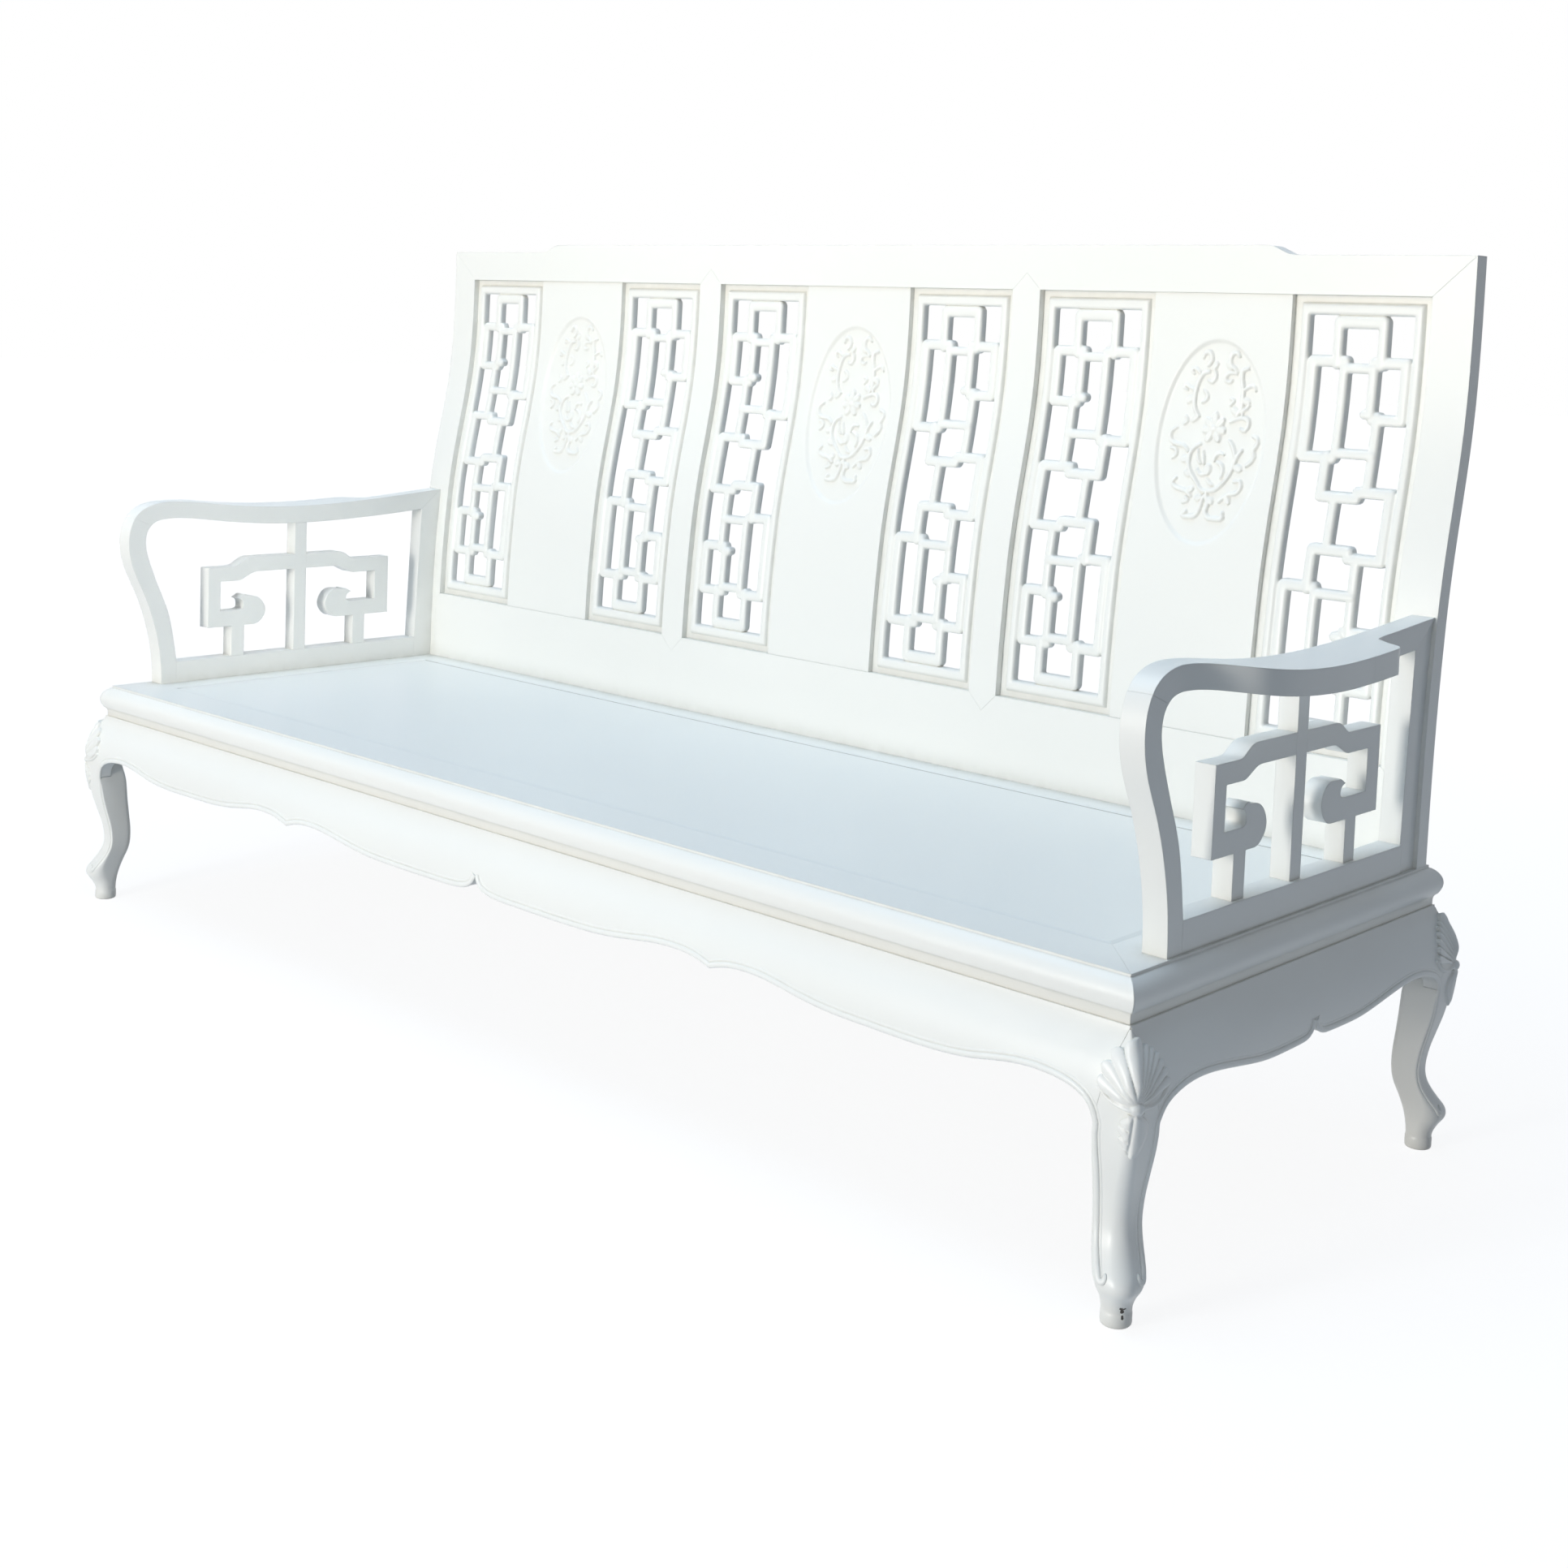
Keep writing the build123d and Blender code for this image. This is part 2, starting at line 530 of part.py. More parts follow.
# outer edge of the armrest in plan: wide for the forearm, stepped back with an ogee
REST = [(947, 66), (949.5, 80), (957, 100), (972.5, 122), (988, 143), (996, 168), (998.5, 200),
        (998, 250), (996, 310), (993, 370), (990.5, 428)]
REST_STEP = [(990.5, 428), (984, 441), (968, 449), (955, 458), (947, 476)]
Z_ARM = 371.5
POST_IN, POST_UP = 553.0, 563.0     # front face of the rear post, at foot and at rail


def arm_tenon(y0, y1, z0, z1):
    return block(X_POST - 6, X_POST + 6, y0, y1, z0, z1)


BOTTOM_TENONS = [arm_tenon(82, 92, 345, 363), arm_tenon(553, 563, 345, 363)]
UP_TENONS = [arm_tenon(313, 323, 361.5, 371.5), arm_tenon(196, 207, 363.5, 371.5),
             arm_tenon(430, 441, 363.5, 371.5)]
RAIL_TENONS = [arm_tenon(313, 323, 583, 594), arm_tenon(574, 588, 590, 620),
               arm_tenon(22, 36, 590, 604)]

with BuildPart() as arm_right_front_post:
    with BuildSketch(side(ARM_IN)):
        with BuildLine():
            Spline(*POST_FRONT)
            Spline(*POST_BACK)
            Line(POST_FRONT[-1], POST_BACK[-1])
            Polyline(POST_FRONT[0], (92, 338), POST_BACK[0])
        make_face()
    extrude(amount=ARM_T)
    add(BOTTOM_TENONS[0], mode=Mode.SUBTRACT)
    add(RAIL_TENONS[2])

with BuildPart() as arm_right_rail:
    with BuildSketch(side(ARM_IN)):
        with BuildLine():
            Spline(*RAIL_TOP)
            Spline(*RAIL_LOW)
            Line(RAIL_TOP[0], RAIL_LOW[0])
            Line(RAIL_TOP[-1], RAIL_LOW[-1])
        make_face()
    extrude(amount=100)
    with BuildSketch(plan(560)):
        with BuildLine():
            Polyline((947, 66), (947, 0), (ARM_IN, 0), (ARM_IN, 620), (947, 620), (947, 476))
            Spline(*REST, tangents=[(0.05, 1), (-0.05, 1)])
            Spline(*REST_STEP, tangents=[(-0.1, 1), (-0.1, 1)])
        make_face()
    extrude(amount=90, mode=Mode.INTERSECT)
    for t in RAIL_TENONS:
        add(t, mode=Mode.SUBTRACT)

with BuildPart() as arm_right_rear_post:
    with BuildSketch(side(ARM_IN)):
        with BuildLine():
            Polyline((620, 338), (POST_IN, 338), (POST_IN, Z_ARM), RAIL_LOW[-1], RAIL_TOP[-1],
                     (640, RAIL_TOP[-1][1]), (640, 338), (620, 338))
        make_face()
    extrude(amount=ARM_T - 2)
    with BuildSketch(side(ARM_IN - 5)):
        with BuildLine():
            Spline(*S_FRONT)
            Polyline(S_FRONT[0], (500, 330), (500, 1070), S_FRONT[-1])
        make_face()
    extrude(amount=60, mode=Mode.INTERSECT)
    add(BOTTOM_TENONS[1], mode=Mode.SUBTRACT)
    add(RAIL_TENONS[1])
    add(frame_dowels.part, mode=Mode.SUBTRACT)

with BuildPart() as arm_right_bottom_rail:
    add(block(ARM_IN, ARM_IN + ARM_T, 92, POST_IN, SEAT_H, Z_ARM))
    for t in BOTTOM_TENONS:
        add(t)
    for t in UP_TENONS:
        add(t, mode=Mode.SUBTRACT)
    add(frame_dowels.part, mode=Mode.SUBTRACT)

with BuildPart() as arm_right_centre_post:
    with BuildSketch(side(ARM_IN)):
        with BuildLine():
            Spline(*RAIL_LOW)
            Polyline(RAIL_LOW[0], (46, Z_ARM), (563, Z_ARM), RAIL_LOW[-1])
        make_face()
    extrude(amount=FRET_T)
    add(block(ARM_IN - 1, ARM_IN + FRET_T, 307, 329, Z_ARM, 600), mode=Mode.INTERSECT)
    add(UP_TENONS[0])
    add(RAIL_TENONS[0])

with BuildPart() as arm_right_front_fret:
    with BuildSketch(side(ARM_IN)):
        with BuildLine():
            Polyline((307, 507.5), (307, 531.5), (228, 531.5))
            Spline((228, 531.5), (214, 528), (202, 520.5), (190, 517.5),
                   tangents=[(-1, 0), (-1, 0)])
            Polyline((190, 517.5), (147, 517.5), (147, 421), (190, 421), (190, Z_ARM),
                     (213, Z_ARM), (213, 421), (228, 421))
            Spline((228, 421), (243, 426.5), (252, 441), (247, 457), (232, 467), (217, 469.5),
                   (203, 464.5), tangents=[(1, 0), (-1, -0.7)])
            Spline((203, 464.5), (210, 460), (211, 451), (204, 446),
                   tangents=[(1, -0.2), (-1, -0.2)])
            Polyline((204, 446), (169, 446), (169, 494.5), (200, 494.5))
            Spline((200, 494.5), (213, 498.5), (226, 505), (240, 507.5),
                   tangents=[(1, 0), (1, 0)])
            Line((240, 507.5), (307, 507.5))
        make_face()
    extrude(amount=FRET_T)
    add(UP_TENONS[1])

with BuildPart() as arm_right_rear_fret:
    with BuildSketch(side(ARM_IN)):
        with BuildLine():
            Polyline((329, 507.5), (329, 531.5), (390, 531.5))
            Spline((390, 531.5), (405, 528), (416, 520.5), (428, 518),
                   tangents=[(1, 0), (1, 0)])
            Polyline((428, 518), (494, 518), (494, 421), (447, 421), (447, Z_ARM),
                     (424, Z_ARM), (424, 421), (392, 421))
            Spline((392, 421), (376, 427), (367.5, 443), (373, 459), (389, 468), (405, 467),
                   (419.5, 461.5), tangents=[(-1, 0), (1, -0.6)])
            Spline((419.5, 461.5), (411.5, 458), (409, 451), (415, 446),
                   tangents=[(-1, -0.1), (1, -0.3)])
            Polyline((415, 446), (467, 446), (467, 494.5), (424, 494.5))
            Spline((424, 494.5), (411, 498), (398, 504.5), (384, 507.5),
                   tangents=[(-1, 0), (-1, 0)])
            Line((384, 507.5), (329, 507.5))
        make_face()
    extrude(amount=FRET_T)
    add(UP_TENONS[2])

right_arm = {"front_post": arm_right_front_post, "rail": arm_right_rail,
             "rear_post": arm_right_rear_post, "bottom_rail": arm_right_bottom_rail,
             "centre_post": arm_right_centre_post, "front_fret": arm_right_front_fret,
             "rear_fret": arm_right_rear_fret}

# ---- names and files --------------------------------------------------------------------
pieces = {
    "seat_frame_front": seat_frame_front, "seat_frame_rear": seat_frame_rear,
    "seat_frame_left": seat_frame_left, "seat_frame_right": seat_frame_right,
    "seat_panel": seat_panel, **battens,
    "waist_front": waist_front, "waist_rear": waist_rear,
    "waist_left": waist_left, "waist_right": waist_right,
    "apron_front": apron_front, "apron_rear": apron_rear,
    "apron_left": apron_left, "apron_right": apron_right,
    "leg_front_left": leg_front_left, "leg_front_right": leg_front_right,
    "leg_rear_left": leg_rear_left, "leg_rear_right": leg_rear_right,
    "back_stile_left": back_stile_left, "back_stile_right": back_stile_right,
    "back_top_rail": back_top_rail, "back_bottom_rail": back_bottom_rail,
    "back_muntin_left": back_muntin_left, "back_muntin_right": back_muntin_right,
    "back_panel_left": back_panel_left, "back_panel_centre": back_panel_centre,
    "back_panel_right": back_panel_right, **lattices, "frame_dowels": frame_dowels,
}
for name, piece in right_arm.items():
    pieces[f"arm_right_{name}"] = piece
    with BuildPart() as other:
        mirror(piece.part, about=MID_X)
    pieces[f"arm_left_{name}"] = other

for name, piece in pieces.items():
    piece.part.label = name
    export_step(piece.part, f"parts/{name}.step")
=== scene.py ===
"""White painted luohan daybed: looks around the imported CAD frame.

Metres in Blender, +Z up, the open front faces -Y. Shapes are written in millimetres, with
depths measured from the front edge of the seat's top, and turned into metres by place().
"""
import math

import bpy
import numpy as np
from mathutils import Matrix, Vector


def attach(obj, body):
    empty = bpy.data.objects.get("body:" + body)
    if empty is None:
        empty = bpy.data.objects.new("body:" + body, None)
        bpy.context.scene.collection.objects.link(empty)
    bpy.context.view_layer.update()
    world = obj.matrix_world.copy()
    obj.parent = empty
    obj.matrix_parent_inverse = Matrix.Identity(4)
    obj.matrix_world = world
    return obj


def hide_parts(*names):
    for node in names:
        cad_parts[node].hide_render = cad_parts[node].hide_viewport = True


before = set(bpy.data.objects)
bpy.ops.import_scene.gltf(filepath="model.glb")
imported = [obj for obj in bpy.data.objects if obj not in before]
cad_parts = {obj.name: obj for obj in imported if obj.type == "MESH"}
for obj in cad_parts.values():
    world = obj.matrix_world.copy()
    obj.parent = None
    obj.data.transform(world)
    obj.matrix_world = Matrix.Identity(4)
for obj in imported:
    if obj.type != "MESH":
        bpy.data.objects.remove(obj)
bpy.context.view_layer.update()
scene = bpy.context.scene
scene.view_settings.view_transform = "Standard"

MM = 0.001
Y_EDGE = -322.25                # the front edge of the seat's top, along the row's Y
HALF, SEAT_D = 950.0, 620.0     # half the length of the seat's top, and its depth


def place(x, depth, z):
    """Millimetres, depth from the seat's front edge, to metres in the row frame."""
    return np.stack([x * MM, (depth + Y_EDGE) * MM, z * MM], -1)


# ---- camera ---------------------------------------------------------------------------------
def place_camera():
    """Stands near the right-hand front corner, low, nearly level."""
    position = (1.994704, -1.940217, 0.934136)
    azimuth, elevation, roll = 0.7380754, 0.0773220, 0.0372657
    focal_px, centre_x, centre_y, width_px = 2527.012, 1004.734, 602.715, 1932.0
    forward = Vector((-math.sin(azimuth) * math.cos(elevation),
                      math.cos(azimuth) * math.cos(elevation), -math.sin(elevation)))
    level = Vector((math.cos(azimuth), math.sin(azimuth), 0.0))
    upright = level.cross(forward)
    right = math.cos(roll) * level + math.sin(roll) * upright
    up = -math.sin(roll) * level + math.cos(roll) * upright
    data = bpy.data.cameras.new("camera")
    data.sensor_width = 36.0
    data.lens = focal_px / width_px * data.sensor_width
    data.shift_x = -(centre_x - width_px / 2) / width_px
    data.shift_y = -(width_px / 2 - centre_y) / width_px
    data.clip_start, data.clip_end = 0.05, 100.0
    camera = bpy.data.objects.new("camera", data)
    scene.collection.objects.link(camera)
    turn = Matrix((right, up, -forward)).transposed().to_4x4()
    camera.matrix_world = Matrix.Translation(position) @ turn
    scene.camera = camera


place_camera()


# ---- shader nodes ---------------------------------------------------------------------------
def new_node(tree, kind, joined=None, **values):
    """A node with options and input values set by name, and sockets joined to its inputs."""
    node = tree.nodes.new(kind)
    for key, value in values.items():
        if hasattr(node, key):
            setattr(node, key, value)
        else:
            node.inputs[key.replace("_", " ")].default_value = value
    for key, socket in (joined or {}).items():
        tree.links.new(socket, node.inputs[key])
    return node


def calculate(tree, operation, *terms):
    """The result of a Math node; each term is a socket or a number."""
    node = new_node(tree, "ShaderNodeMath", operation=operation)
    for term, socket in zip(terms, node.inputs):
        if isinstance(term, float):
            socket.default_value = term
        else:
            tree.links.new(term, socket)
    return node.outputs[0]


def map_range(tree, value, from_min, from_max, to_min, to_max):
    """A value carried from one range to another, and held within it."""
    node = new_node(tree, "ShaderNodeMapRange", {"Value": value}, From_Min=from_min,
                    From_Max=from_max, To_Min=to_min, To_Max=to_max)
    return node.outputs[0]


def colour_ramp(tree, value, stops):
    """A colour that runs through the stops, each a place and a colour, as value grows."""
    node = new_node(tree, "ShaderNodeValToRGB", {0: value})
    elements = node.color_ramp.elements
    for end, (position, colour) in ((0, stops[0]), (1, stops[-1])):
        elements[end].position = position
        elements[end].color = (*colour, 1)
    for position, colour in stops[1:-1]:
        elements.new(position).color = (*colour, 1)
    return node.outputs[0]


def blend(tree, share, colour, over):
    """A colour with another one laid over it in a share."""
    node = new_node(tree, "ShaderNodeMix", {"Factor": share, "A": colour}, data_type="RGBA",
                    B=(*over, 1))
    return node.outputs["Result"]


def noise(tree, vector, **values):
    """The strength of a noise texture laid out by a vector."""
    return new_node(tree, "ShaderNodeTexNoise", {"Vector": vector}, **values).outputs["Fac"]


def stretched(tree, vector, scale):
    """A vector scaled along each axis."""
    return new_node(tree, "ShaderNodeMapping", {"Vector": vector}, Scale=scale).outputs[0]


def sees_background(tree):
    """1 for the rays that show the background: from the camera, a reflection or through glass."""
    path = tree.nodes.new("ShaderNodeLightPath")
    shown = path.outputs["Is Camera Ray"]
    for kind in ("Is Glossy Ray", "Is Transmission Ray"):
        shown = calculate(tree, "MAXIMUM", shown, path.outputs[kind])
    return shown


# ---- light, floor and background ------------------------------------------------------------
def area_light(name, centre, aim, size, watts, colour, spread=180.0):
    """A rectangular lamp at centre, turned to aim; spread is its beam's angle in degrees."""
    data = bpy.data.lights.new(name, "AREA")
    data.shape = "RECTANGLE"
    data.size, data.size_y = size
    data.energy = watts
    data.color = colour
    data.spread = math.radians(spread)
    lamp = bpy.data.objects.new(name, data)
    scene.collection.objects.link(lamp)
    lamp.location = centre
    lamp.rotation_mode = "QUATERNION"
    lamp.rotation_quaternion = (Vector(aim) - Vector(centre)).to_track_quat("-Z", "Y")


area_light("key", (-0.25, -3.9, 0.80), (0.0, 0.1, 0.50), (0.8, 1.2), 86.0, (1.0, 0.965, 0.90))
area_light("top", (-0.30, -0.60, 3.4), (-0.1, -0.1, 0.3), (2.7, 2.2), 52.0, (0.66, 0.84, 1.0))
# narrow beams on the back, the left arm and the right-hand legs: a lamp with a narrow beam is
# many times brighter along its middle than its power suggests
area_light("wash", (0.0, -2.3, 1.70), (0.0, 0.33, 1.10), (2.8, 0.3), 1.5,
           (1.0, 0.88, 0.68), spread=30.0)
area_light("side", (0.50, -0.90, 1.60), (-0.95, -0.15, 0.50), (0.3, 0.3), 0.22,
           (1.0, 0.95, 0.88), spread=26.0)
area_light("low", (2.50, -1.60, 0.35), (0.97, -0.20, 0.12), (0.8, 0.3), 0.08,
           (0.94, 0.97, 1.0), spread=24.0)

HORIZON, HALFWAY, ZENITH = (0.101, 0.096, 0.088), (0.122, 0.117, 0.108), (0.24, 0.32, 0.42)
FROM_LEFT, FROM_RIGHT = 1.25, 0.72      # less light comes from the right-hand side
FLOOR_REACH = 30.0                      # metres from the daybed to the floor's edges
FLOOR_COLOUR = (0.67, 0.69, 0.72, 1)
GLOW_SHARE = 0.68                       # the rest of what the camera sees is lit floor


def studio_world():
    """Dim, cooler towards the zenith; pure white where the camera or a reflection sees it."""
    world = bpy.data.worlds.new("studio")
    scene.world = world
    world.use_nodes = True
    tree = world.node_tree
    tree.nodes.clear()
    where = tree.nodes.new("ShaderNodeTexCoord").outputs["Generated"]
    split = new_node(tree, "ShaderNodeSeparateXYZ", {0: where})
    colour = colour_ramp(tree, split.outputs["Z"], [(0.0, HORIZON), (0.45, HALFWAY), (0.9, ZENITH)])
    strength = map_range(tree, split.outputs["X"], -1.0, 1.0, FROM_LEFT, FROM_RIGHT)
    dim = new_node(tree, "ShaderNodeBackground", {"Color": colour, "Strength": strength})
    white = new_node(tree, "ShaderNodeBackground", Color=(1, 1, 1, 1))
    mixed = new_node(tree, "ShaderNodeMixShader",
                     {0: sees_background(tree), 1: dim.outputs[0], 2: white.outputs[0]})
    new_node(tree, "ShaderNodeOutputWorld", {0: mixed.outputs[0]})


def studio_floor():
    """A wide pale floor. Most of what the camera sees of it glows, and the rest is lit."""
    r = FLOOR_REACH
    mesh = bpy.data.meshes.new("floor")
    mesh.from_pydata([(-r, -r, 0), (r, -r, 0), (r, r, 0), (-r, r, 0)], [], [(0, 1, 2, 3)])
    floor = bpy.data.objects.new("floor", mesh)
    scene.collection.objects.link(floor)
    mat = bpy.data.materials.new("floor")
    mat.use_nodes = True
    tree = mat.node_tree
    tree.nodes.clear()
    where = tree.nodes.new("ShaderNodeTexCoord").outputs["Object"]
    away = new_node(tree, "ShaderNodeVectorMath", {0: where}, operation="LENGTH")
    # it glows more further out, where the lamps light it less
    strength = map_range(tree, away.outputs["Value"], 1.2, 4.0, 1.30, 1.47)
    glow = new_node(tree, "ShaderNodeEmission", {"Strength": strength})
    matt = new_node(tree, "ShaderNodeBsdfDiffuse", Color=FLOOR_COLOUR)
    share = calculate(tree, "MULTIPLY", sees_background(tree), GLOW_SHARE)
    mixed = new_node(tree, "ShaderNodeMixShader",
                     {0: share, 1: matt.outputs[0], 2: glow.outputs[0]})
    new_node(tree, "ShaderNodeOutputMaterial", {0: mixed.outputs[0]})
    mesh.materials.append(mat)


studio_world()
studio_floor()

# ---- materials ------------------------------------------------------------------------------
# the second colour is laid into grooves and inside corners: painted shade there, with some dirt
WHITE, CORNER_GRIME_AND_SHADE, CHIP_COLOUR = (0.920, 0.920, 0.890), (0.50, 0.49, 0.43), (0.02, 0.017, 0.013)
SATIN = 0.36                    # roughness, which drifts by GLOSS_DRIFT either way
GLOSS_DRIFT = 0.06
SHUT, OPEN = 0.30, 0.90         # share of open air where the painted corner shade and dirt are strongest, and where there is none
# small old chips in the paint: centre in mm (x, depth, z), radius in mm
CHIPS = [((966.4, -15.3, 22.4), 2.0), ((968.5, -12.5, 21.6), 1.7), ((967.6, -13.9, 18.4), 2.2),
         ((967.7, -13.7, 13.2), 1.3), ((967.8, -13.6, 11.4), 1.2), ((957.5, -11.9, 92.0), 1.3),
         ((-915.0, 45.0, 588.0), 2.0)]


def paint_material(name, pale, grime_and_shade, roughness=SATIN, chips=(), most_grime_and_shade=0.60):
    """Satin paint on hardwood: faint drift of tone, painted shade and dirt in the corners, brush
    texture.
    """
    mat = bpy.data.materials.new(name)
    mat.use_nodes = True
    tree = mat.node_tree
    shader = tree.nodes["Principled BSDF"]
    shader.inputs["Specular IOR Level"].default_value = 0.5
    where = tree.nodes.new("ShaderNodeTexCoord").outputs["Object"]
    drift = noise(tree, where, Scale=2.0, Detail=1.0, Roughness=0.5)
    colour = colour_ramp(tree, drift, [(0.0, [c * 0.95 for c in pale]), (1.0, pale)])
    # painted shade, with some dirt and yellowing: ambient occlusion darkens the colour in grooves
    # and inside corners
    corner = new_node(tree, "ShaderNodeAmbientOcclusion", samples=6, Distance=0.030)
    shut = map_range(tree, corner.outputs["AO"], SHUT, OPEN, most_grime_and_shade, 0.0)
    patchy = noise(tree, where, Scale=38.0, Detail=4.0, Roughness=0.6)
    colour = blend(tree, calculate(tree, "MULTIPLY", shut, patchy), colour, grime_and_shade)
    for (x, depth, z), radius in chips:
        ragged = noise(tree, where, Scale=420.0, Detail=3.0)
        away = new_node(tree, "ShaderNodeVectorMath", {0: where}, operation="DISTANCE")
        away.inputs[1].default_value = place(x, depth, z).tolist()
        edge = calculate(tree, "MULTIPLY_ADD", ragged, -1.6 * radius * MM, 1.8 * radius * MM)
        inside = calculate(tree, "LESS_THAN", away.outputs["Value"], edge)
        colour = blend(tree, inside, colour, CHIP_COLOUR)
    tree.links.new(colour, shader.inputs["Base Color"])
    # sheen of a brushed coat: uneven gloss and a slight ripple along the length
    gloss = noise(tree, where, Scale=5.0, Detail=1.0, Roughness=0.5)
    rough = map_range(tree, gloss, 0.0, 1.0, roughness - GLOSS_DRIFT, roughness + GLOSS_DRIFT)
    tree.links.new(rough, shader.inputs["Roughness"])
    along = stretched(tree, where, (14.0, 90.0, 90.0))
    strokes = noise(tree, along, Scale=2.0, Detail=2.0, Roughness=0.5)
    soft_edge = new_node(tree, "ShaderNodeBevel", samples=4, Radius=0.0016)
    ripple = new_node(tree, "ShaderNodeBump", {"Height": strokes, "Normal": soft_edge.outputs[0]},
                      Strength=0.25, Distance=0.00012)
    tree.links.new(ripple.outputs[0], shader.inputs["Normal"])
    return mat


def wood_material(name, light, dark):
    """Bare hardwood with its grain drawn out along Y."""
    mat = bpy.data.materials.new(name)
    mat.use_nodes = True
    tree = mat.node_tree
    shader = tree.nodes["Principled BSDF"]
    shader.inputs["Roughness"].default_value = 0.6
    where = tree.nodes.new("ShaderNodeTexCoord").outputs["Object"]
    along = stretched(tree, where, (60.0, 6.0, 60.0))
    grain = noise(tree, along, Scale=3.0, Detail=8.0, Distortion=1.5)
    colour = colour_ramp(tree, grain, [(0.35, dark), (0.68, light)])
    tree.links.new(colour, shader.inputs["Base Color"])
    ripple = new_node(tree, "ShaderNodeBump", {"Height": grain}, Strength=0.3, Distance=0.0004)
    tree.links.new(ripple.outputs[0], shader.inputs["Normal"])
    return mat


paint = paint_material("white_lacquer", WHITE, CORNER_GRIME_AND_SHADE)
chipped = paint_material("white_lacquer_chipped", WHITE, CORNER_GRIME_AND_SHADE, chips=CHIPS)
# darker, warmer paint on the waist under the seat's lip: painted shade of its cove, with some
# yellowing
yellowed_and_shaded = paint_material("yellowed_and_shaded_white_lacquer", (0.87, 0.86, 0.81), (0.44, 0.42, 0.36))
# on the seat frame's moulding the darker corner colour goes on much more strongly: painted shade in
# its cove, with some dirt
moulding_shaded = paint_material("shaded_moulding_white_lacquer", WHITE, (0.36, 0.34, 0.27), most_grime_and_shade=1.3)
under = paint_material("thin_white_paint", (0.82, 0.82, 0.79), (0.50, 0.44, 0.33), 0.5)
bare = wood_material("bare_hardwood", (0.60, 0.40, 0.24), (0.38, 0.22, 0.12))
FINISHES = {"seat_batten": under, "frame_dowels": bare, "arm_left_front_post": chipped,
            "arm_left_rail": chipped, "waist": yellowed_and_shaded, "seat_frame": moulding_shaded}
for name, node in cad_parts.items():
    finish = next((f for start, f in FINISHES.items() if name.startswith(start)), paint)
    node.data.materials.clear()
    node.data.materials.append(finish)


# ---- mesh helpers ---------------------------------------------------------------------------
def make_piece(name, points, faces, sharp, material=paint, replaces=()):
    """A mesh piece in the row frame that rides on the daybed; sharp is an angle in degrees."""
    mesh = bpy.data.meshes.new(name)
    mesh.from_pydata([tuple(p) for p in points], [], faces)
    mesh.validate()
    mesh.update()
    mesh.shade_smooth()
    mesh.set_sharp_from_angle(angle=math.radians(sharp))
    mesh.materials.append(material)
    piece = bpy.data.objects.new(name, mesh)
    scene.collection.objects.link(piece)
    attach(piece, "root")
    if replaces:
        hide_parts(*replaces)


def flipped(faces):
    """The same faces, turned inside out."""
    return [tuple(reversed(f)) for f in faces]


def skin_rings(count, m):
    """Faces round a row of count closed rings of m points each, with both ends shut."""
    faces = [(i * m + j, i * m + (j + 1) % m, (i + 1) * m + (j + 1) % m, (i + 1) * m + j)
             for i in range(count - 1) for j in range(m)]
    last = (count - 1) * m
    return faces + [tuple(reversed(range(m))), tuple(range(last, last + m))]


def natural_cubic(t, v):
    """Second derivatives of the natural cubic spline through v at t."""
    n = len(t)
    h = np.diff(t)
    a, b = np.eye(n), np.zeros(n)
    for k in range(1, n - 1):
        a[k, k - 1], a[k, k], a[k, k + 1] = h[k - 1], 2 * (h[k - 1] + h[k]), h[k]
        b[k] = 6 * ((v[k + 1] - v[k]) / h[k] - (v[k] - v[k - 1]) / h[k - 1])
    return np.linalg.solve(a, b)


def smooth_line(points, step=1.0):
    """Points on a smooth line through the given ones, about step apart."""
    p = np.asarray(points, float)
    t = np.concatenate([[0.0], np.cumsum(np.linalg.norm(np.diff(p, axis=0), axis=1))])
    s = np.linspace(0, t[-1], max(3, int(t[-1] / step) + 1))
    k = np.clip(np.searchsorted(t, s, side="right") - 1, 0, len(t) - 2)
    h = (t[k + 1] - t[k])
    a, b = (t[k + 1] - s) / h, (s - t[k]) / h
    out = []
    for v in p.T:
        m = natural_cubic(t, v)
        out.append(a * v[k] + b * v[k + 1]
                   + ((a ** 3 - a) * m[k] + (b ** 3 - b) * m[k + 1]) * h ** 2 / 6)
    return np.stack(out, -1)


def smoothstep(a, b, v):
    """0 below a, 1 above b, and an even curve between."""
    t = np.clip((v - a) / (b - a), 0, 1)
    return t * t * (3 - 2 * t)


# ---- the S of the back ----------------------------------------------------------------------
# the front face seen from the end, as (depth, height)
S_FRONT = [(588.5, 330), (590.6, 450), (594.6, 530), (600.5, 600), (604.8, 640), (610.8, 680),
           (618.2, 720), (626.6, 760), (634.8, 800), (641.6, 840), (646.2, 880), (648.9, 920),
           (650.6, 980), (651.2, 1070)]
S_LINE = smooth_line(S_FRONT, 2.0)


def on_back(x, z, depth):
    """A point of the back at a depth behind its front face, in metres."""
    return place(np.asarray(x), np.interp(z, S_LINE[:, 1], S_LINE[:, 0]) + depth, np.asarray(z))


# ---- lattice panels: relief drawn as distances to lines, then cut out -----------------------
SEC_W, MUN_W, LAT_W = 567.2, 46.3, 184.0        # widths of a section, a muntin, a lattice panel
Z_OPEN0, Z_OPEN1 = 448.8, 1000.0                # bottom and top of the openings in the frame
Z_MID, SEC_H = (Z_OPEN0 + Z_OPEN1) / 2, Z_OPEN1 - Z_OPEN0
SECTIONS = [-(SEC_W + MUN_W), 0.0, SEC_W + MUN_W]
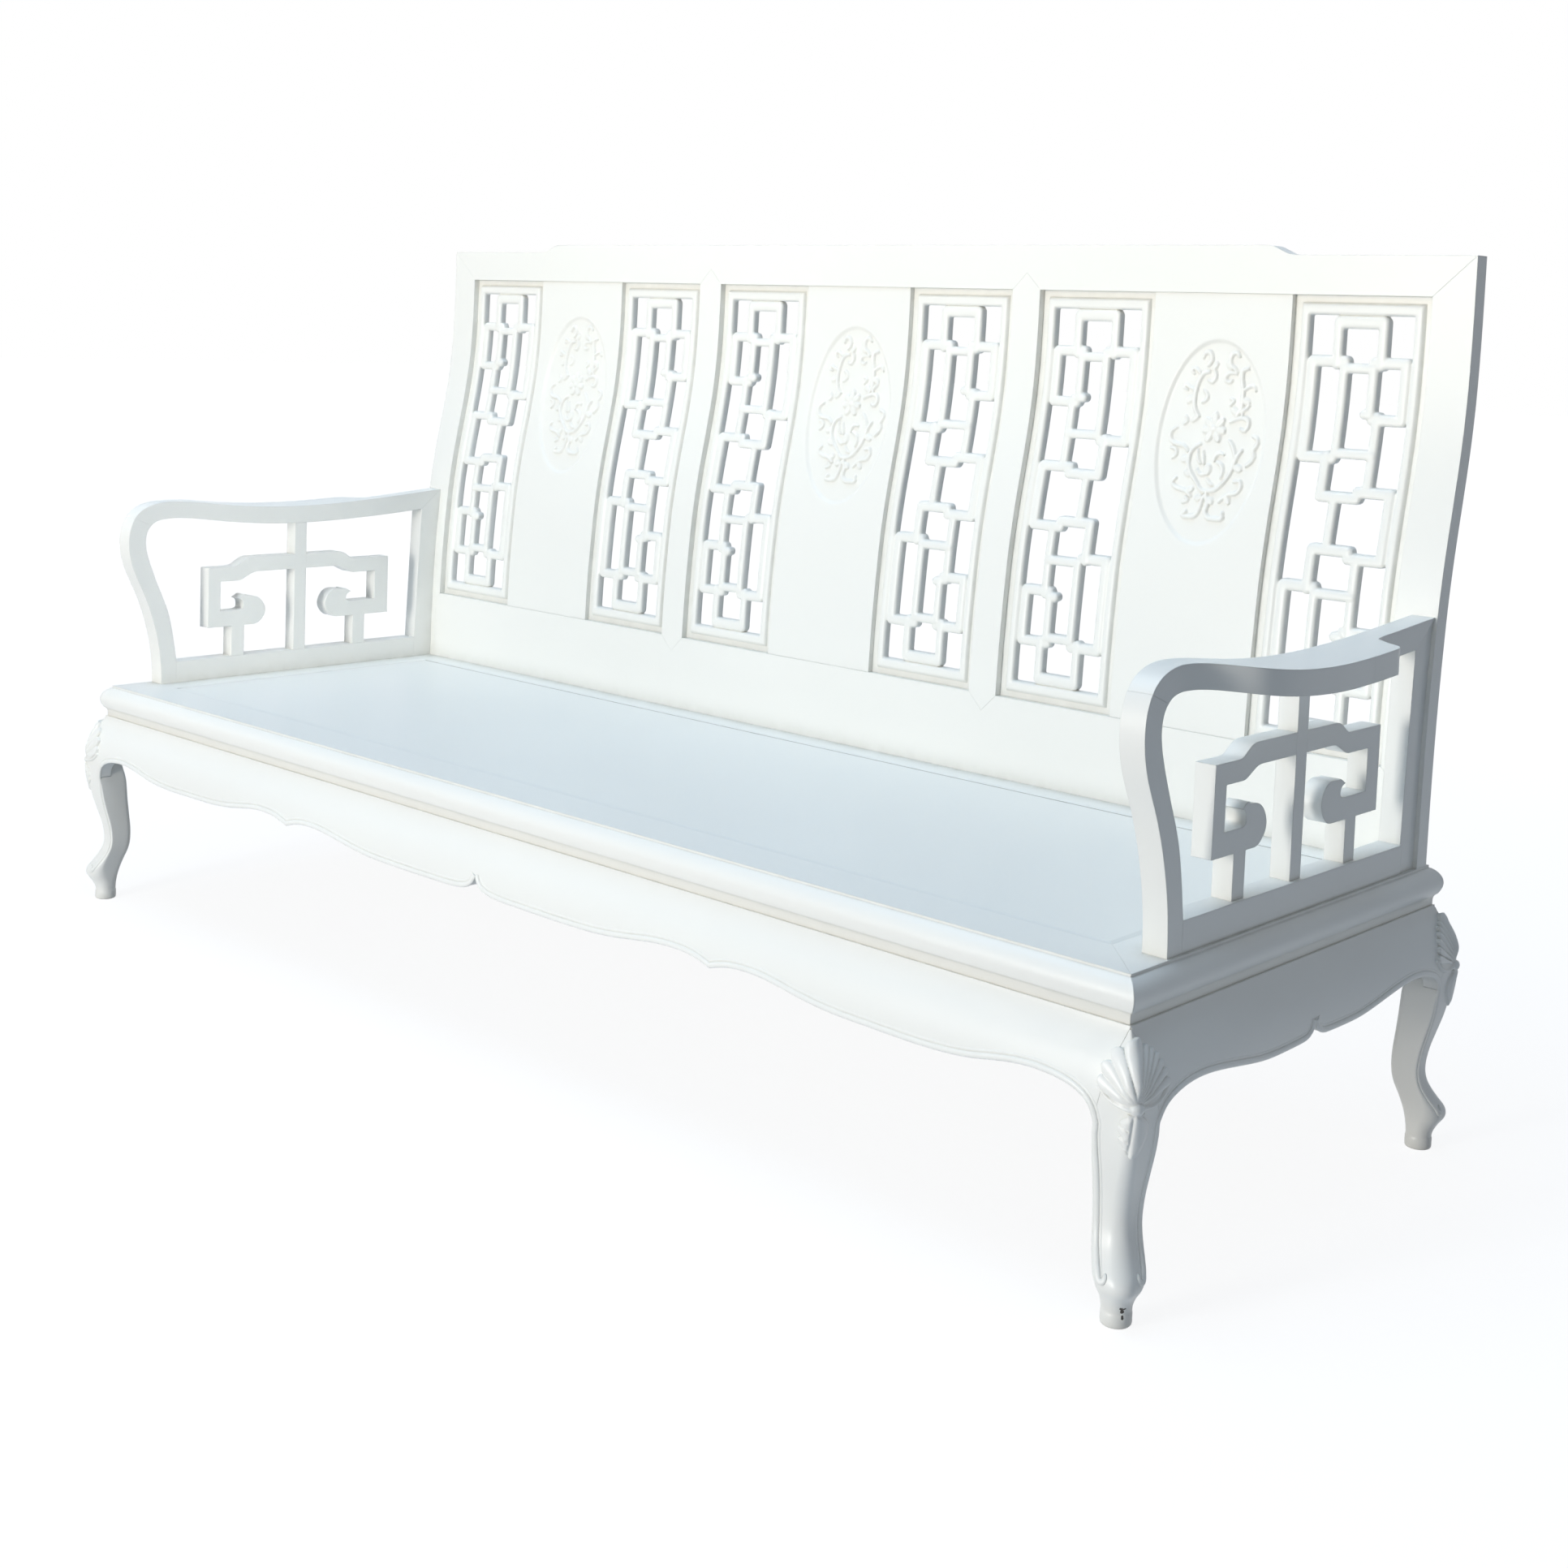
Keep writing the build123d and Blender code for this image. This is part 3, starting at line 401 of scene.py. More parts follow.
# depths behind the front of the frame: the flat border, the rim's crest, the panel's back
D_BORDER, D_RIM, D_BACK = 10.0, 4.4, 17.0
D_LOWEST = D_BACK - 3.0                         # no face at the front lies deeper than this
D_CUT = 9.2                                     # depth at which a strand's face ends in its side
FIELD_W, FIELD_H = 68.9, 251.5                  # half size of the pierced field
RIM_W, RIM_H = LAT_W / 2 - 11.0, SEC_H / 2 - 10.0
RIM_ROUND = 4.2
PILLOW = 4.4        # how far a bar's rounded face falls from its crest to its sides
SQUARE = 2.6        # 2 rounds the bars as an ellipse, more makes their faces flatter
NO_WOOD = 99.0
COLUMNS, ROWS = 108, 320                        # of the grid that the panel is cut from
# strands about the panel's middle, upper half: (width, depth of the crest, centre line)
STRANDS = [
    (13.0, 4.6, [(-29.5, 192), (-29.5, 243.5), (29.4, 243.5), (29.4, 192)]),
    (16.0, 4.6, [(-28, 243.5), (28, 243.5)]),
    (14.0, 5.3, [(-20, 195), (-61.5, 195), (-61.5, 126.8), (-24, 126.8)]),
    (12.4, 3.9, [(-13.5, 133), (-20.7, 133), (-20.7, 187.8), (18.6, 187.8), (18.6, 84.5),
                 (-30, 84.5)]),
    (14.4, 4.9, [(19, 195.6), (61.5, 195.6), (61.5, 78.2), (22, 78.2)]),
    (13.2, 5.0, [(-30.1, 130), (-30.1, 42)]),
    (14.0, 4.4, [(-19, 39.8), (-61.5, 39.8), (-61.5, -39.8), (-19, -39.8)]),
    (14.0, 4.0, [(-18, 31.8), (29.3, 31.8), (29.3, 80)]),
    (12.4, 4.8, [(10.6, 32), (10.6, -32)]),
]


def line_distance(u, v, line):
    """Distance of every grid point to a polyline."""
    best = np.full(u.shape, 1e9)
    for (x0, y0), (x1, y1) in zip(line, line[1:]):
        dx, dy = x1 - x0, y1 - y0
        t = np.clip(((u - x0) * dx + (v - y0) * dy) / (dx * dx + dy * dy), 0, 1)
        best = np.minimum(best, np.hypot(u - x0 - t * dx, v - y0 - t * dy))
    return best


def rounded(t, radius):
    """Drop of a quarter round at a distance t inside its edge."""
    k = np.clip(1 - t / radius, 0, 1)
    return radius * (1 - np.sqrt(np.maximum(0, 1 - k * k)))


def lattice_field(u, v):
    """(inside, depth): how far a point lies inside wood, and the depth of its surface."""
    rim_out = np.minimum(RIM_W - np.abs(u), RIM_H - np.abs(v))
    inside = -np.minimum(FIELD_W - np.abs(u), FIELD_H - np.abs(v))
    rim = np.maximum(np.minimum(rim_out, inside), 0)
    depth = np.where(rim_out > 0, D_RIM + rounded(rim, RIM_ROUND), D_BORDER)
    depth = np.where(inside > 0, depth, NO_WOOD)
    for width, crest, line in STRANDS:
        for flip in (1, -1):
            t = width / 2 - line_distance(u, v, [(a, flip * b) for a, b in line])
            side = np.clip(1 - 2 * t / width, 0, 0.999)
            d = crest + PILLOW * (1 - (1 - side ** SQUARE) ** (1 / SQUARE))
            depth = np.where(t > 0, np.minimum(depth, d), depth)
            inside = np.maximum(inside, t)
    return inside, np.minimum(depth, D_LOWEST)


def cut_sheet(us, vs, field):
    """Cuts a grid where field's first value is 0, into points, polygons and the cut's edges."""
    uu, vv = np.meshgrid(us, vs)
    inside, _ = field(uu, vv)
    ids, flat, polygons, rims = {}, [], [], []

    def corner(i, j):
        if (i, j) not in ids:
            ids[i, j] = len(flat)
            flat.append((us[j], vs[i]))
        return ids[i, j]

    def crossing(a, b):
        key = (min(a, b), max(a, b))
        if key not in ids:
            fa, fb = inside[a], inside[b]
            t = min(0.98, max(0.02, fa / (fa - fb)))        # keeps clear of the grid's points
            ids[key] = len(flat)
            flat.append((us[a[1]] + t * (us[b[1]] - us[a[1]]),
                         vs[a[0]] + t * (vs[b[0]] - vs[a[0]])))
        return ids[key]

    for i in range(len(vs) - 1):
        for j in range(len(us) - 1):
            cell = [(i, j), (i, j + 1), (i + 1, j + 1), (i + 1, j)]
            wood = [inside[c] > 0 for c in cell]
            if not any(wood):
                continue
            polygon, cuts = [], []
            for k in range(4):
                a, b = cell[k], cell[(k + 1) % 4]
                if wood[k]:
                    polygon.append(corner(*a))
                if wood[k] != wood[(k + 1) % 4]:
                    cuts.append((crossing(a, b), wood[k]))
                    polygon.append(cuts[-1][0])
            polygons.append(polygon)
            if len(cuts) == 2:
                leave = next(c for c, out in cuts if out)
                enter = next(c for c, out in cuts if not out)
                rims.append((leave, enter))
    return np.array(flat), polygons, rims


def add_edges_of_sheet(flat, us, vs, rims):
    """The sheet's straight outer edges, as more rim pieces in the same direction."""
    for axis, value, order in ((1, vs[0], 1), (0, us[-1], 1), (1, vs[-1], -1), (0, us[0], -1)):
        on = np.where(np.abs(flat[:, axis] - value) < 1e-6)[0]
        on = on[np.argsort(order * flat[on, 1 - axis])]
        rims += [(int(a), int(b)) for a, b in zip(on, on[1:])]


def lattice_mesh():
    """Points and faces of a left-hand lattice panel about x = 0."""
    us = np.linspace(-LAT_W / 2, LAT_W / 2, COLUMNS)
    vs = np.linspace(-SEC_H / 2, SEC_H / 2, ROWS)
    flat, polygons, rims = cut_sheet(us, vs, lattice_field)
    add_edges_of_sheet(flat, us, vs, rims)
    _, depth = lattice_field(flat[:, 0], flat[:, 1])
    for k in {k for edge in rims for k in edge}:
        if depth[k] > D_LOWEST - 1:         # a point on a cut can lie just outside every strand
            depth[k] = D_CUT
    n = len(flat)
    front = np.column_stack([flat[:, 0], flat[:, 1], depth])
    back = np.column_stack([flat[:, 0], flat[:, 1], np.full(n, D_BACK)])
    faces = [tuple(p) for p in polygons]
    faces += [tuple(k + n for k in reversed(p)) for p in polygons]
    faces += [(b, a, a + n, b + n) for a, b in rims]
    return np.vstack([front, back]), faces


grid, lattice_faces = lattice_mesh()
number = 0
for section in SECTIONS:
    for hand in (-1, 1):                    # the right-hand panel mirrors the left-hand one
        number += 1
        centre = section + hand * (SEC_W / 2 - LAT_W / 2)
        make_piece(f"lattice_{number}",
                   on_back(centre - hand * grid[:, 0], Z_MID + grid[:, 1], grid[:, 2]),
                   lattice_faces if hand < 0 else flipped(lattice_faces),
                   sharp=50.0, replaces=[f"lattice_panel_{number}"])

# ---- solid panels with a sunk oval and a flower with scrolling stems ------------------------
D_PANEL, D_SOLID = 2.0, 22.0                # depths of the panel's face and of its back
X_SOLID = SEC_W / 2 - LAT_W                 # half its width
OVAL = (0.0, 811.5, 79.0, 130.5)            # middle x and z, half width, half height
SUNK, SLOPE = 3.4, 4.6                      # depth of the oval and width of its sloping edge
BOLD = 1.35                                 # raises stems, leaves and flower alike
STEM_END = 0.72                             # a stem's width at its ends, against its middle
FLOWER_X, FLOWER_Z = 3.0, 829.0
HEART_R, HEART_H = 6.2, 3.4                 # the boss in the flower's middle
FINE_X, FINE_Z0, FINE_Z1 = 84.0, 672.0, 950.0       # the fine grid, over the carving
# stems as (height, radius, points); x about the panel's middle
STEMS = [
    (2.4, 3.0, [(-23, 918), (-20, 924), (-15, 925), (-11.5, 921), (-11, 914), (-15, 908)]),
    (2.4, 3.0, [(29, 921), (26, 925), (20, 924), (16.5, 918), (18, 910), (24, 905), (27, 901)]),
    (2.6, 3.2, [(-13, 900), (-20, 898), (-26, 890), (-30, 878), (-31, 866), (-29, 853),
                (-22, 843)]),
    (2.2, 2.6, [(-8, 905), (-4, 900), (-3, 893), (-8, 887), (-13, 889)]),
    (2.2, 2.6, [(27, 899), (19, 900), (13, 897), (12, 891), (17, 888), (21, 890)]),
    (2.6, 3.2, [(43, 906), (36, 903), (35, 895), (38, 880), (39, 866), (38, 854), (33, 846)]),
    (2.2, 2.4, [(39, 878), (46, 883), (53, 884), (56, 879)]),
    (2.2, 2.4, [(-35, 904), (-38, 901), (-35, 897)]),
    (2.2, 2.4, [(-46, 883), (-47, 878), (-43, 876)]),
    (2.2, 2.4, [(-31, 876), (-38, 879), (-46, 883)]),
    (2.2, 2.4, [(-26, 898), (-31, 902), (-35, 904)]),
    (2.0, 2.4, [(-18, 876), (-13, 871), (-13, 865), (-19, 861)]),
    (2.0, 2.4, [(21, 868), (26, 865), (22, 859)]),
    (2.6, 3.0, [(25, 838), (33, 842), (42, 844), (49, 842), (51, 834), (46, 828), (41, 830)]),
    (2.4, 2.6, [(38, 851), (44, 855), (49, 860)]), (2.2, 2.4, [(41, 846), (40, 852), (38, 857)]),
    (2.4, 2.8, [(-52, 827), (-58, 823), (-60, 816), (-56, 809), (-46, 806), (-37, 804),
                (-31, 798)]),
    (2.2, 2.4, [(-41, 842), (-38, 836), (-42, 832)]),
    (2.4, 2.8, [(60, 822), (66, 819), (67, 811), (63, 804), (65, 798), (62, 790), (56, 785)]),
    (2.6, 3.0, [(-14, 808), (-22, 803), (-27, 794), (-27, 782), (-22, 772), (-15, 764),
                (-8, 756)]),
    (2.4, 2.8, [(27, 815), (33, 808), (37, 800), (40, 793)]),
    (2.6, 3.0, [(47, 803), (42, 796), (38, 784), (34, 772), (28, 762)]),
    (2.4, 2.6, [(-16, 800), (-14, 790), (-10, 784)]), (2.4, 2.6, [(-8, 799), (-6, 790), (-5, 784)]),
    (2.4, 2.6, [(10, 788), (12, 796), (18, 798), (22, 797)]),
    (2.4, 2.8, [(14, 787), (20, 784), (24, 776), (23, 768)]),
    (2.2, 2.6, [(-13, 776), (-6, 770), (1, 772)]), (2.2, 2.6, [(3, 766), (8, 760), (12, 758)]),
    (2.2, 2.6, [(-56, 801), (-50, 800), (-47, 794), (-52, 788)]),
    (2.4, 2.8, [(-42, 763), (-46, 758), (-43, 753), (-34, 750), (-24, 747), (-17, 742)]),
    (2.4, 2.8, [(43, 764), (51, 765), (53, 757), (47, 750), (38, 748), (32, 744), (26, 738)]),
    (2.2, 2.6, [(-24, 740), (-20, 737), (-26, 733)]),
    (2.6, 3.2, [(-20, 722), (-24, 718), (-14, 716), (-5, 719), (-1, 727), (1, 736), (4, 744)]),
    (2.6, 3.2, [(33, 724), (34, 718), (24, 716), (12, 718), (8, 725), (10, 733), (7, 742),
                (6, 750)]),
    (2.6, 3.0, [(-8, 756), (0, 750), (6, 750), (16, 752), (28, 762)]),
]
# petals and leaves as tapering ridges: (height, root, tip, half width)
LEAVES = [(3.0, (FLOWER_X + 5 * math.sin(a), FLOWER_Z + 5 * math.cos(a)),
           (FLOWER_X + 17 * math.sin(a), FLOWER_Z + 20 * math.cos(a)), 5.4)
          for a in [math.radians(v) for v in (0, 52, 100, 148, 212, 260, 308)]]
LEAVES += [
    (2.4, (-22, 845), (-32, 836), 4.5), (2.4, (33, 848), (25, 856), 4.5),
    (2.4, (-27, 790), (-39, 786), 5.0), (2.4, (40, 784), (50, 778), 5.0),
    (2.4, (-20, 768), (-31, 772), 4.6), (2.6, (2, 784), (2, 770), 6.0),
    (2.4, (-33, 868), (-42, 860), 4.6), (2.4, (40, 868), (49, 862), 4.6),
    (2.4, (-24, 747), (-14, 752), 4.2), (2.4, (34, 745), (40, 736), 4.4),
    (2.4, (-10, 903), (-1, 912), 4.2), (2.4, (20, 905), (12, 914), 4.2),
    (2.6, (0, 744), (-9, 738), 4.6), (2.6, (8, 742), (17, 735), 4.6),
]


def leaf_height(u, v, height, root, tip, half_width):
    """Height of a rounded ridge that narrows to both ends, with a fine vein along it."""
    (x0, y0), (x1, y1) = root, tip
    dx, dy = x1 - x0, y1 - y0
    length = math.hypot(dx, dy)
    t = ((u - x0) * dx + (v - y0) * dy) / length ** 2
    side = np.abs((u - x0) * dy - (v - y0) * dx) / length
    width = half_width * np.sqrt(np.clip(1 - (2 * np.clip(t, -0.1, 1.1) - 1.0) ** 2 * 0.86, 0, 1))
    width = np.where((t < -0.1) | (t > 1.1), 0, width)
    k = np.clip(1 - side / np.maximum(width, 1e-6), 0, 1)
    dome = np.sqrt(np.clip(1 - (1 - k) ** 2, 0, 1))
    vein = 1 - 0.22 * np.exp(-(side / 1.1) ** 2)
    return np.where(width > 0.2, height * dome * vein, 0)


def panel_depth(u, v):
    """Depth of the carved panel's face behind the face of the back's frame."""
    ax, az, rx, rz = OVAL
    q = np.hypot((u - ax) / rx, (v - az) / rz)
    # about the distance in from the oval's edge, which the middle is far from
    edge = (1 - q) * rx * rz / np.hypot(rx * (v - az) / rz, rz * (u - ax) / rx).clip(1e-6) * q
    edge = np.where(q < 0.2, 60.0, edge)
    sunk = SUNK * np.clip(edge / SLOPE, 0, 1)
    raised = np.zeros(u.shape)
    for height, radius, line in STEMS:
        pts = smooth_line(line, 1.6)
        lo, hi = pts.min(0) - radius - 1, pts.max(0) + radius + 1
        near = (u > lo[0]) & (u < hi[0]) & (v > lo[1]) & (v < hi[1])
        if near.any():
            taper = STEM_END + (1 - STEM_END) * np.sin(np.pi * np.linspace(0, 1, len(pts)))
            d = np.hypot(u[near][:, None] - pts[:, 0], v[near][:, None] - pts[:, 1])
            k = d / (radius * taper)
            h = height * np.sqrt(np.clip(1 - k.min(1) ** 4, 0, 1))
            raised[near] = np.maximum(raised[near], h)
    for leaf in LEAVES:
        raised = np.maximum(raised, leaf_height(u, v, *leaf))
    heart = np.hypot(u - FLOWER_X, v - FLOWER_Z) / HEART_R
    raised = np.maximum(raised, HEART_H * np.sqrt(np.clip(1 - heart ** 2, 0, 1)))
    return D_PANEL + sunk - BOLD * raised


def panel_mesh():
    """A panel about x = 0: fine grid over the carving, coarse elsewhere, plain behind."""
    us = np.concatenate([[-X_SOLID], np.linspace(-FINE_X, FINE_X, 141), [X_SOLID]])
    vs = np.concatenate([np.linspace(Z_OPEN0, FINE_Z0, 24)[:-1],
                         np.linspace(FINE_Z0, FINE_Z1, 233),
                         np.linspace(FINE_Z1, Z_OPEN1, 7)[1:]])
    uu, vv = np.meshgrid(us, vs)
    depth = panel_depth(uu.ravel(), vv.ravel())
    front = np.column_stack([uu.ravel(), vv.ravel(), depth])
    nu, nv = len(us), len(vs)
    back = np.array([(x, v, D_SOLID) for v in vs for x in (-X_SOLID, X_SOLID)])
    base = nu * nv
    faces = [(i * nu + j, i * nu + j + 1, (i + 1) * nu + j + 1, (i + 1) * nu + j)
             for i in range(nv - 1) for j in range(nu - 1)]
    for i in range(nv - 1):
        l0, r0, l1, r1 = (base + 2 * i, base + 2 * i + 1, base + 2 * i + 2, base + 2 * i + 3)
        faces.append((l0, l1, r1, r0))
        faces.append((i * nu, (i + 1) * nu, l1, l0))
        faces.append(((i + 1) * nu + nu - 1, i * nu + nu - 1, r0, r1))
    faces.append((base, base + 1) + tuple(reversed(range(nu))))
    top = (nv - 1) * nu
    faces.append(tuple(range(top, top + nu)) + (base + 2 * nv - 1, base + 2 * nv - 2))
    return np.vstack([front, back]), faces


panel_grid, panel_faces = panel_mesh()
for section, side in zip(SECTIONS, ("left", "centre", "right")):
    make_piece(f"carved_panel_{side}",
               on_back(section + panel_grid[:, 0], panel_grid[:, 1], panel_grid[:, 2]),
               panel_faces, sharp=60.0, replaces=[f"back_panel_{side}"])

# ---- legs -----------------------------------------------------------------------------------
# the leg seen from in front: its outer line down the knee and then the shin, and its inner
# line, as (distance out from the seat's corner, height)
KNEE = [(6.8, 291), (8.8, 286), (14.3, 276), (20.2, 266), (24.8, 256), (27.8, 245),
        (29.5, 235), (30.1, 225), (29.9, 215), (29.2, 205), (28.3, 195), (27.2, 185)]
SHIN = [(27.2, 185), (25.9, 175), (24.2, 165), (22.0, 155), (19.5, 145), (17.0, 135),
        (14.6, 125), (12.8, 115), (11.6, 105), (11.4, 97), (12.4, 88), (15.4, 78),
        (20.2, 68), (26.0, 58), (29.8, 51), (31.2, 44.5), (30.3, 38.8), (26.4, 32.5),
        (22.3, 25), (20.2, 19), (19.5, 14)]
CALF = [(-9.5, 14), (-10.0, 25), (-11.0, 36), (-12.6, 46), (-15.0, 56), (-17.9, 66),
        (-21.0, 76), (-23.1, 86), (-24.0, 96), (-24.1, 106), (-23.7, 116), (-22.9, 126),
        (-22.0, 136), (-21.2, 146), (-20.4, 156), (-19.8, 166), (-19.2, 176), (-18.2, 187),
        (-16.0, 198)]
# radii over the height: the arris that points out, the two side arrises, the inner corner
CORNER = np.array([(14, 14.0), (25, 14.5), (32, 15.0), (45.5, 17.0), (58, 18.0), (78, 17.0),
                   (97, 15.5), (125, 14.5), (145, 13.5), (165, 12.5), (185, 12.0), (206, 11.0),
                   (235, 7.5), (262, 3.5), (291, 1.4)])
SIDES = np.array([(14, 13.0), (25, 15.0), (33, 16.5), (40, 17.0), (45.5, 15.5), (51, 12.5),
                  (58, 8.0), (66, 4.8), (76, 3.0), (88, 2.2), (180, 2.0), (198, 0.6),
                  (291, 0.3)])
HEEL = np.array([(14, 14.0), (25, 14.0), (36, 12.5), (50, 11.0), (80, 10.0), (180, 8.0),
                 (198, 5.0), (240, 1.5), (291, 0.3)])
OUT_LINE = smooth_line(sorted({(z, o) for o, z in KNEE + SHIN}), 1.0)
IN_LINE = smooth_line(sorted({(z, i) for i, z in CALF}), 1.0)
SHOULDER, TOP = 198.0, 291.0        # the leg's faces narrow to a point between the aprons
SHOULDER_IN, TOP_IN = -16.0, 6.8    # their inner edge there
FULLEST = 0.97                      # largest radius, against half the section's width
PAD_X = 5.0                         # the round pad's middle, out from the corner both ways
PAD = [(0.0, 12.6), (0.6, 14.2), (1.6, 15.0), (3.4, 15.3), (8.0, 15.3), (12.6, 15.3),
       (13.6, 15.0)]                # its radii over the height
POST_Z = (228.0, 318.0)             # the square post behind the aprons
POST_OUT, POST_IN = -12, -36
QUARTER_POINTS, FLAT_STEPS = 13, 5  # of a section: points on each corner, steps on each flat


def outward(z):
    """How far out from the seat's corner the leg's and the aprons' faces stand at a height."""
    return np.interp(z, OUT_LINE[:, 0], OUT_LINE[:, 1])


def inward(z):
    """The leg's inner line at a height, below the shoulder."""
    return np.interp(z, IN_LINE[:, 0], IN_LINE[:, 1])


def lean(z):
    """How much the outer line moves out for each millimetre up, and its length for each."""
    slope = (outward(z + 1) - outward(z - 1)) / 2
    return slope, np.sqrt(1 + slope ** 2)


def round_leg(s, z, lift, soft=0.0):
    """(out along x, out along the depth, height) at arc length s from the leg's arris."""
    o, r = outward(z), np.maximum(np.interp(z, CORNER[:, 0], CORNER[:, 1]), soft)
    quarter = math.pi * r / 4
    turn = np.clip(s, -quarter, quarter) / r + math.pi / 4
    past = np.sign(s) * np.maximum(np.abs(s) - quarter, 0)
    slope, size = lean(z)
    nx, ny, nz = np.sin(turn) / size, np.cos(turn) / size, -slope / size
    x = o - r + r * np.sin(turn) + np.minimum(past, 0) + lift * nx
    y = o - r + r * np.cos(turn) - np.maximum(past, 0) + lift * ny
    return x, y, z + lift * nz


def on_leg(x_side, y_side, x, y, z):
    """Row-frame point for a place out of the seat's corner, on one of the four legs."""
    depth = -y if y_side < 0 else SEAT_D + y
    return place(x_side * (HALF + x), depth, z)


def section_ring(out, back, arris, sides, heel):
    """Points round a rounded square from back to out, both ways."""
    corners = [(out, out, arris, 0), (back, out, sides, 90), (back, back, heel, 180),
               (out, back, sides, 270)]
    ring = []
    for cx, cy, radius, start in corners:
        mx = cx - radius if cx == out else cx + radius
        my = cy - radius if cy == out else cy + radius
        for a in np.radians(start + np.linspace(0, 90, QUARTER_POINTS)):
            ring.append((mx + radius * math.cos(a), my + radius * math.sin(a)))
    dense = []
    for k, (a, b) in enumerate(zip(ring, ring[1:] + ring[:1])):
        steps = FLAT_STEPS if (k + 1) % QUARTER_POINTS == 0 else 1
        for t in range(steps):
            dense.append((a[0] + (b[0] - a[0]) * t / steps, a[1] + (b[1] - a[1]) * t / steps))
    return dense


def leg_rings():
    """All rings of a leg from the sole upwards: height and points (x, y) out of the corner."""
    rings = []
    for z, r in PAD:
        round_over = r * FULLEST
        rings.append((z, section_ring(PAD_X + r, PAD_X - r, round_over, round_over, round_over)))
    heights = np.concatenate([np.arange(14.4, 110.0, 1.6), np.arange(110.0, SHOULDER, 4.0),
                              np.linspace(SHOULDER, TOP - 3.0, 24)])
    for z in heights:
        out, back = float(outward(z)), float(inward(z))
        if z > SHOULDER:
            back = SHOULDER_IN + (TOP_IN - SHOULDER_IN) * (z - SHOULDER) / (TOP - SHOULDER)
        room = (out - back) / 2 * FULLEST
        radii = [min(float(np.interp(z, t[:, 0], t[:, 1])), room) for t in (CORNER, SIDES, HEEL)]
        rings.append((z, section_ring(out, back, *radii)))
    return rings


RINGS = leg_rings()


def build_leg(name, x_side, y_side):
    """A leg with its duck-bill toe and pad, and the post behind the aprons."""
    points = [on_leg(x_side, y_side, x, y, z) for z, ring in RINGS for x, y in ring]
    faces = skin_rings(len(RINGS), len(RINGS[0][1]))
    base = len(points)
    post = [(POST_OUT, POST_OUT), (POST_IN, POST_OUT), (POST_IN, POST_IN), (POST_OUT, POST_IN)]
    points += [on_leg(x_side, y_side, x, y, z) for z in POST_Z for x, y in post]
    faces += [(base + 3, base + 2, base + 1, base), (base + 4, base + 5, base + 6, base + 7)]
    faces += [(base + k, base + (k + 1) % 4, base + 4 + (k + 1) % 4, base + 4 + k)
              for k in range(4)]
    if x_side * y_side > 0:
        faces = flipped(faces)
    make_piece(f"cabriole_{name}", points, faces, sharp=48.0,
               material=chipped if name == "leg_front_right" else paint, replaces=[name])


# ---- carving on the knees -------------------------------------------------------------------
# s runs round the knee from its arris, positive on the face at the daybed's end.
# the shell: a fan of ribs about its foot, with angles from straight up, positive to the side
SHELL_S, SHELL_Z = 5.0, 222.0
GROOVES = np.radians([-78, -57, -36, -15, 9.5, 19.5, 29.5, 41, 53, 65, 78])
MIDDLE_RIB = 3                      # the ribs before it are broad, and those after it narrow
SHELL_BASE, NARROW_RIB, MIDDLE_SHARE = 1.5, 3.8, 1.25
BROAD_BASE, BROAD_RIB = 1.5, 2.4
SCALLOP, DISH = 5.5, 1.3            # how far the rim draws in at a groove; the fan's hollow
# the rim's distance from the foot, as (degrees, distance)
RIM = np.array([(-110, 12), (-88, 22), (-81, 35), (-73, 46), (-60, 50), (-50, 52), (-38, 50.5),
                (-30, 53.5), (-15, 55.5), (0, 60), (9.5, 55.5), (16, 53.5), (35, 52.5),
                (57, 52), (75, 52), (82, 46), (98, 27), (115, 12)])
LOW_EDGE = [[(-38.5, 234), (-28.5, 226.5), (-16, 222), (-3, 220.5)],
            [(55, 235), (48, 227), (31, 219.5), (13, 220.5)]]
KNOT_Z, KNOT_HALF, KNOT_H = 220.5, (9.0, 6.0), 5.0
COLLAR = [(-4, 215.5), (4, 214), (13, 215.5)]
# the leaf's half widths over the height, and its side veins as (foot, slant)
LEAF_LEFT = np.array([(171, 0), (173, 2), (177, 5.5), (181, 8.5), (183, 7.5), (187, 12),
                      (191, 14), (194, 11.5), (198, 14.5), (203, 15), (208, 13), (212, 9),
                      (216, 3)])
LEAF_RIGHT = np.array([(171, 3), (174, 8), (178, 12), (184, 17), (190, 21), (197, 23.5),
                       (203, 22.5), (208, 19), (212, 14), (216, 7)])
LEAF_EDGE, LEAF_MIDDLE, VEIN_DEPTH = 2.7, 1.5, 1.9
SIDE_VEINS = ((176.0, 0.75), (187.0, 0.6), (198.5, 0.5))
KNEE_ARRIS = 8.0                    # the arris is at least this round under the shell
SINK, CORE = -0.5, -1.6             # the skin where nothing is raised, and its inner side


def tube(s, z, line, radius, height):
    """A rounded ridge along a line on the knee."""
    d = np.full(s.shape, 99.0)
    for a, b in smooth_line(line, 1.5):
        d = np.minimum(d, np.hypot(s - a, z - b))
    return height * np.sqrt(np.clip(1 - (d / radius) ** 2, 0, 1))


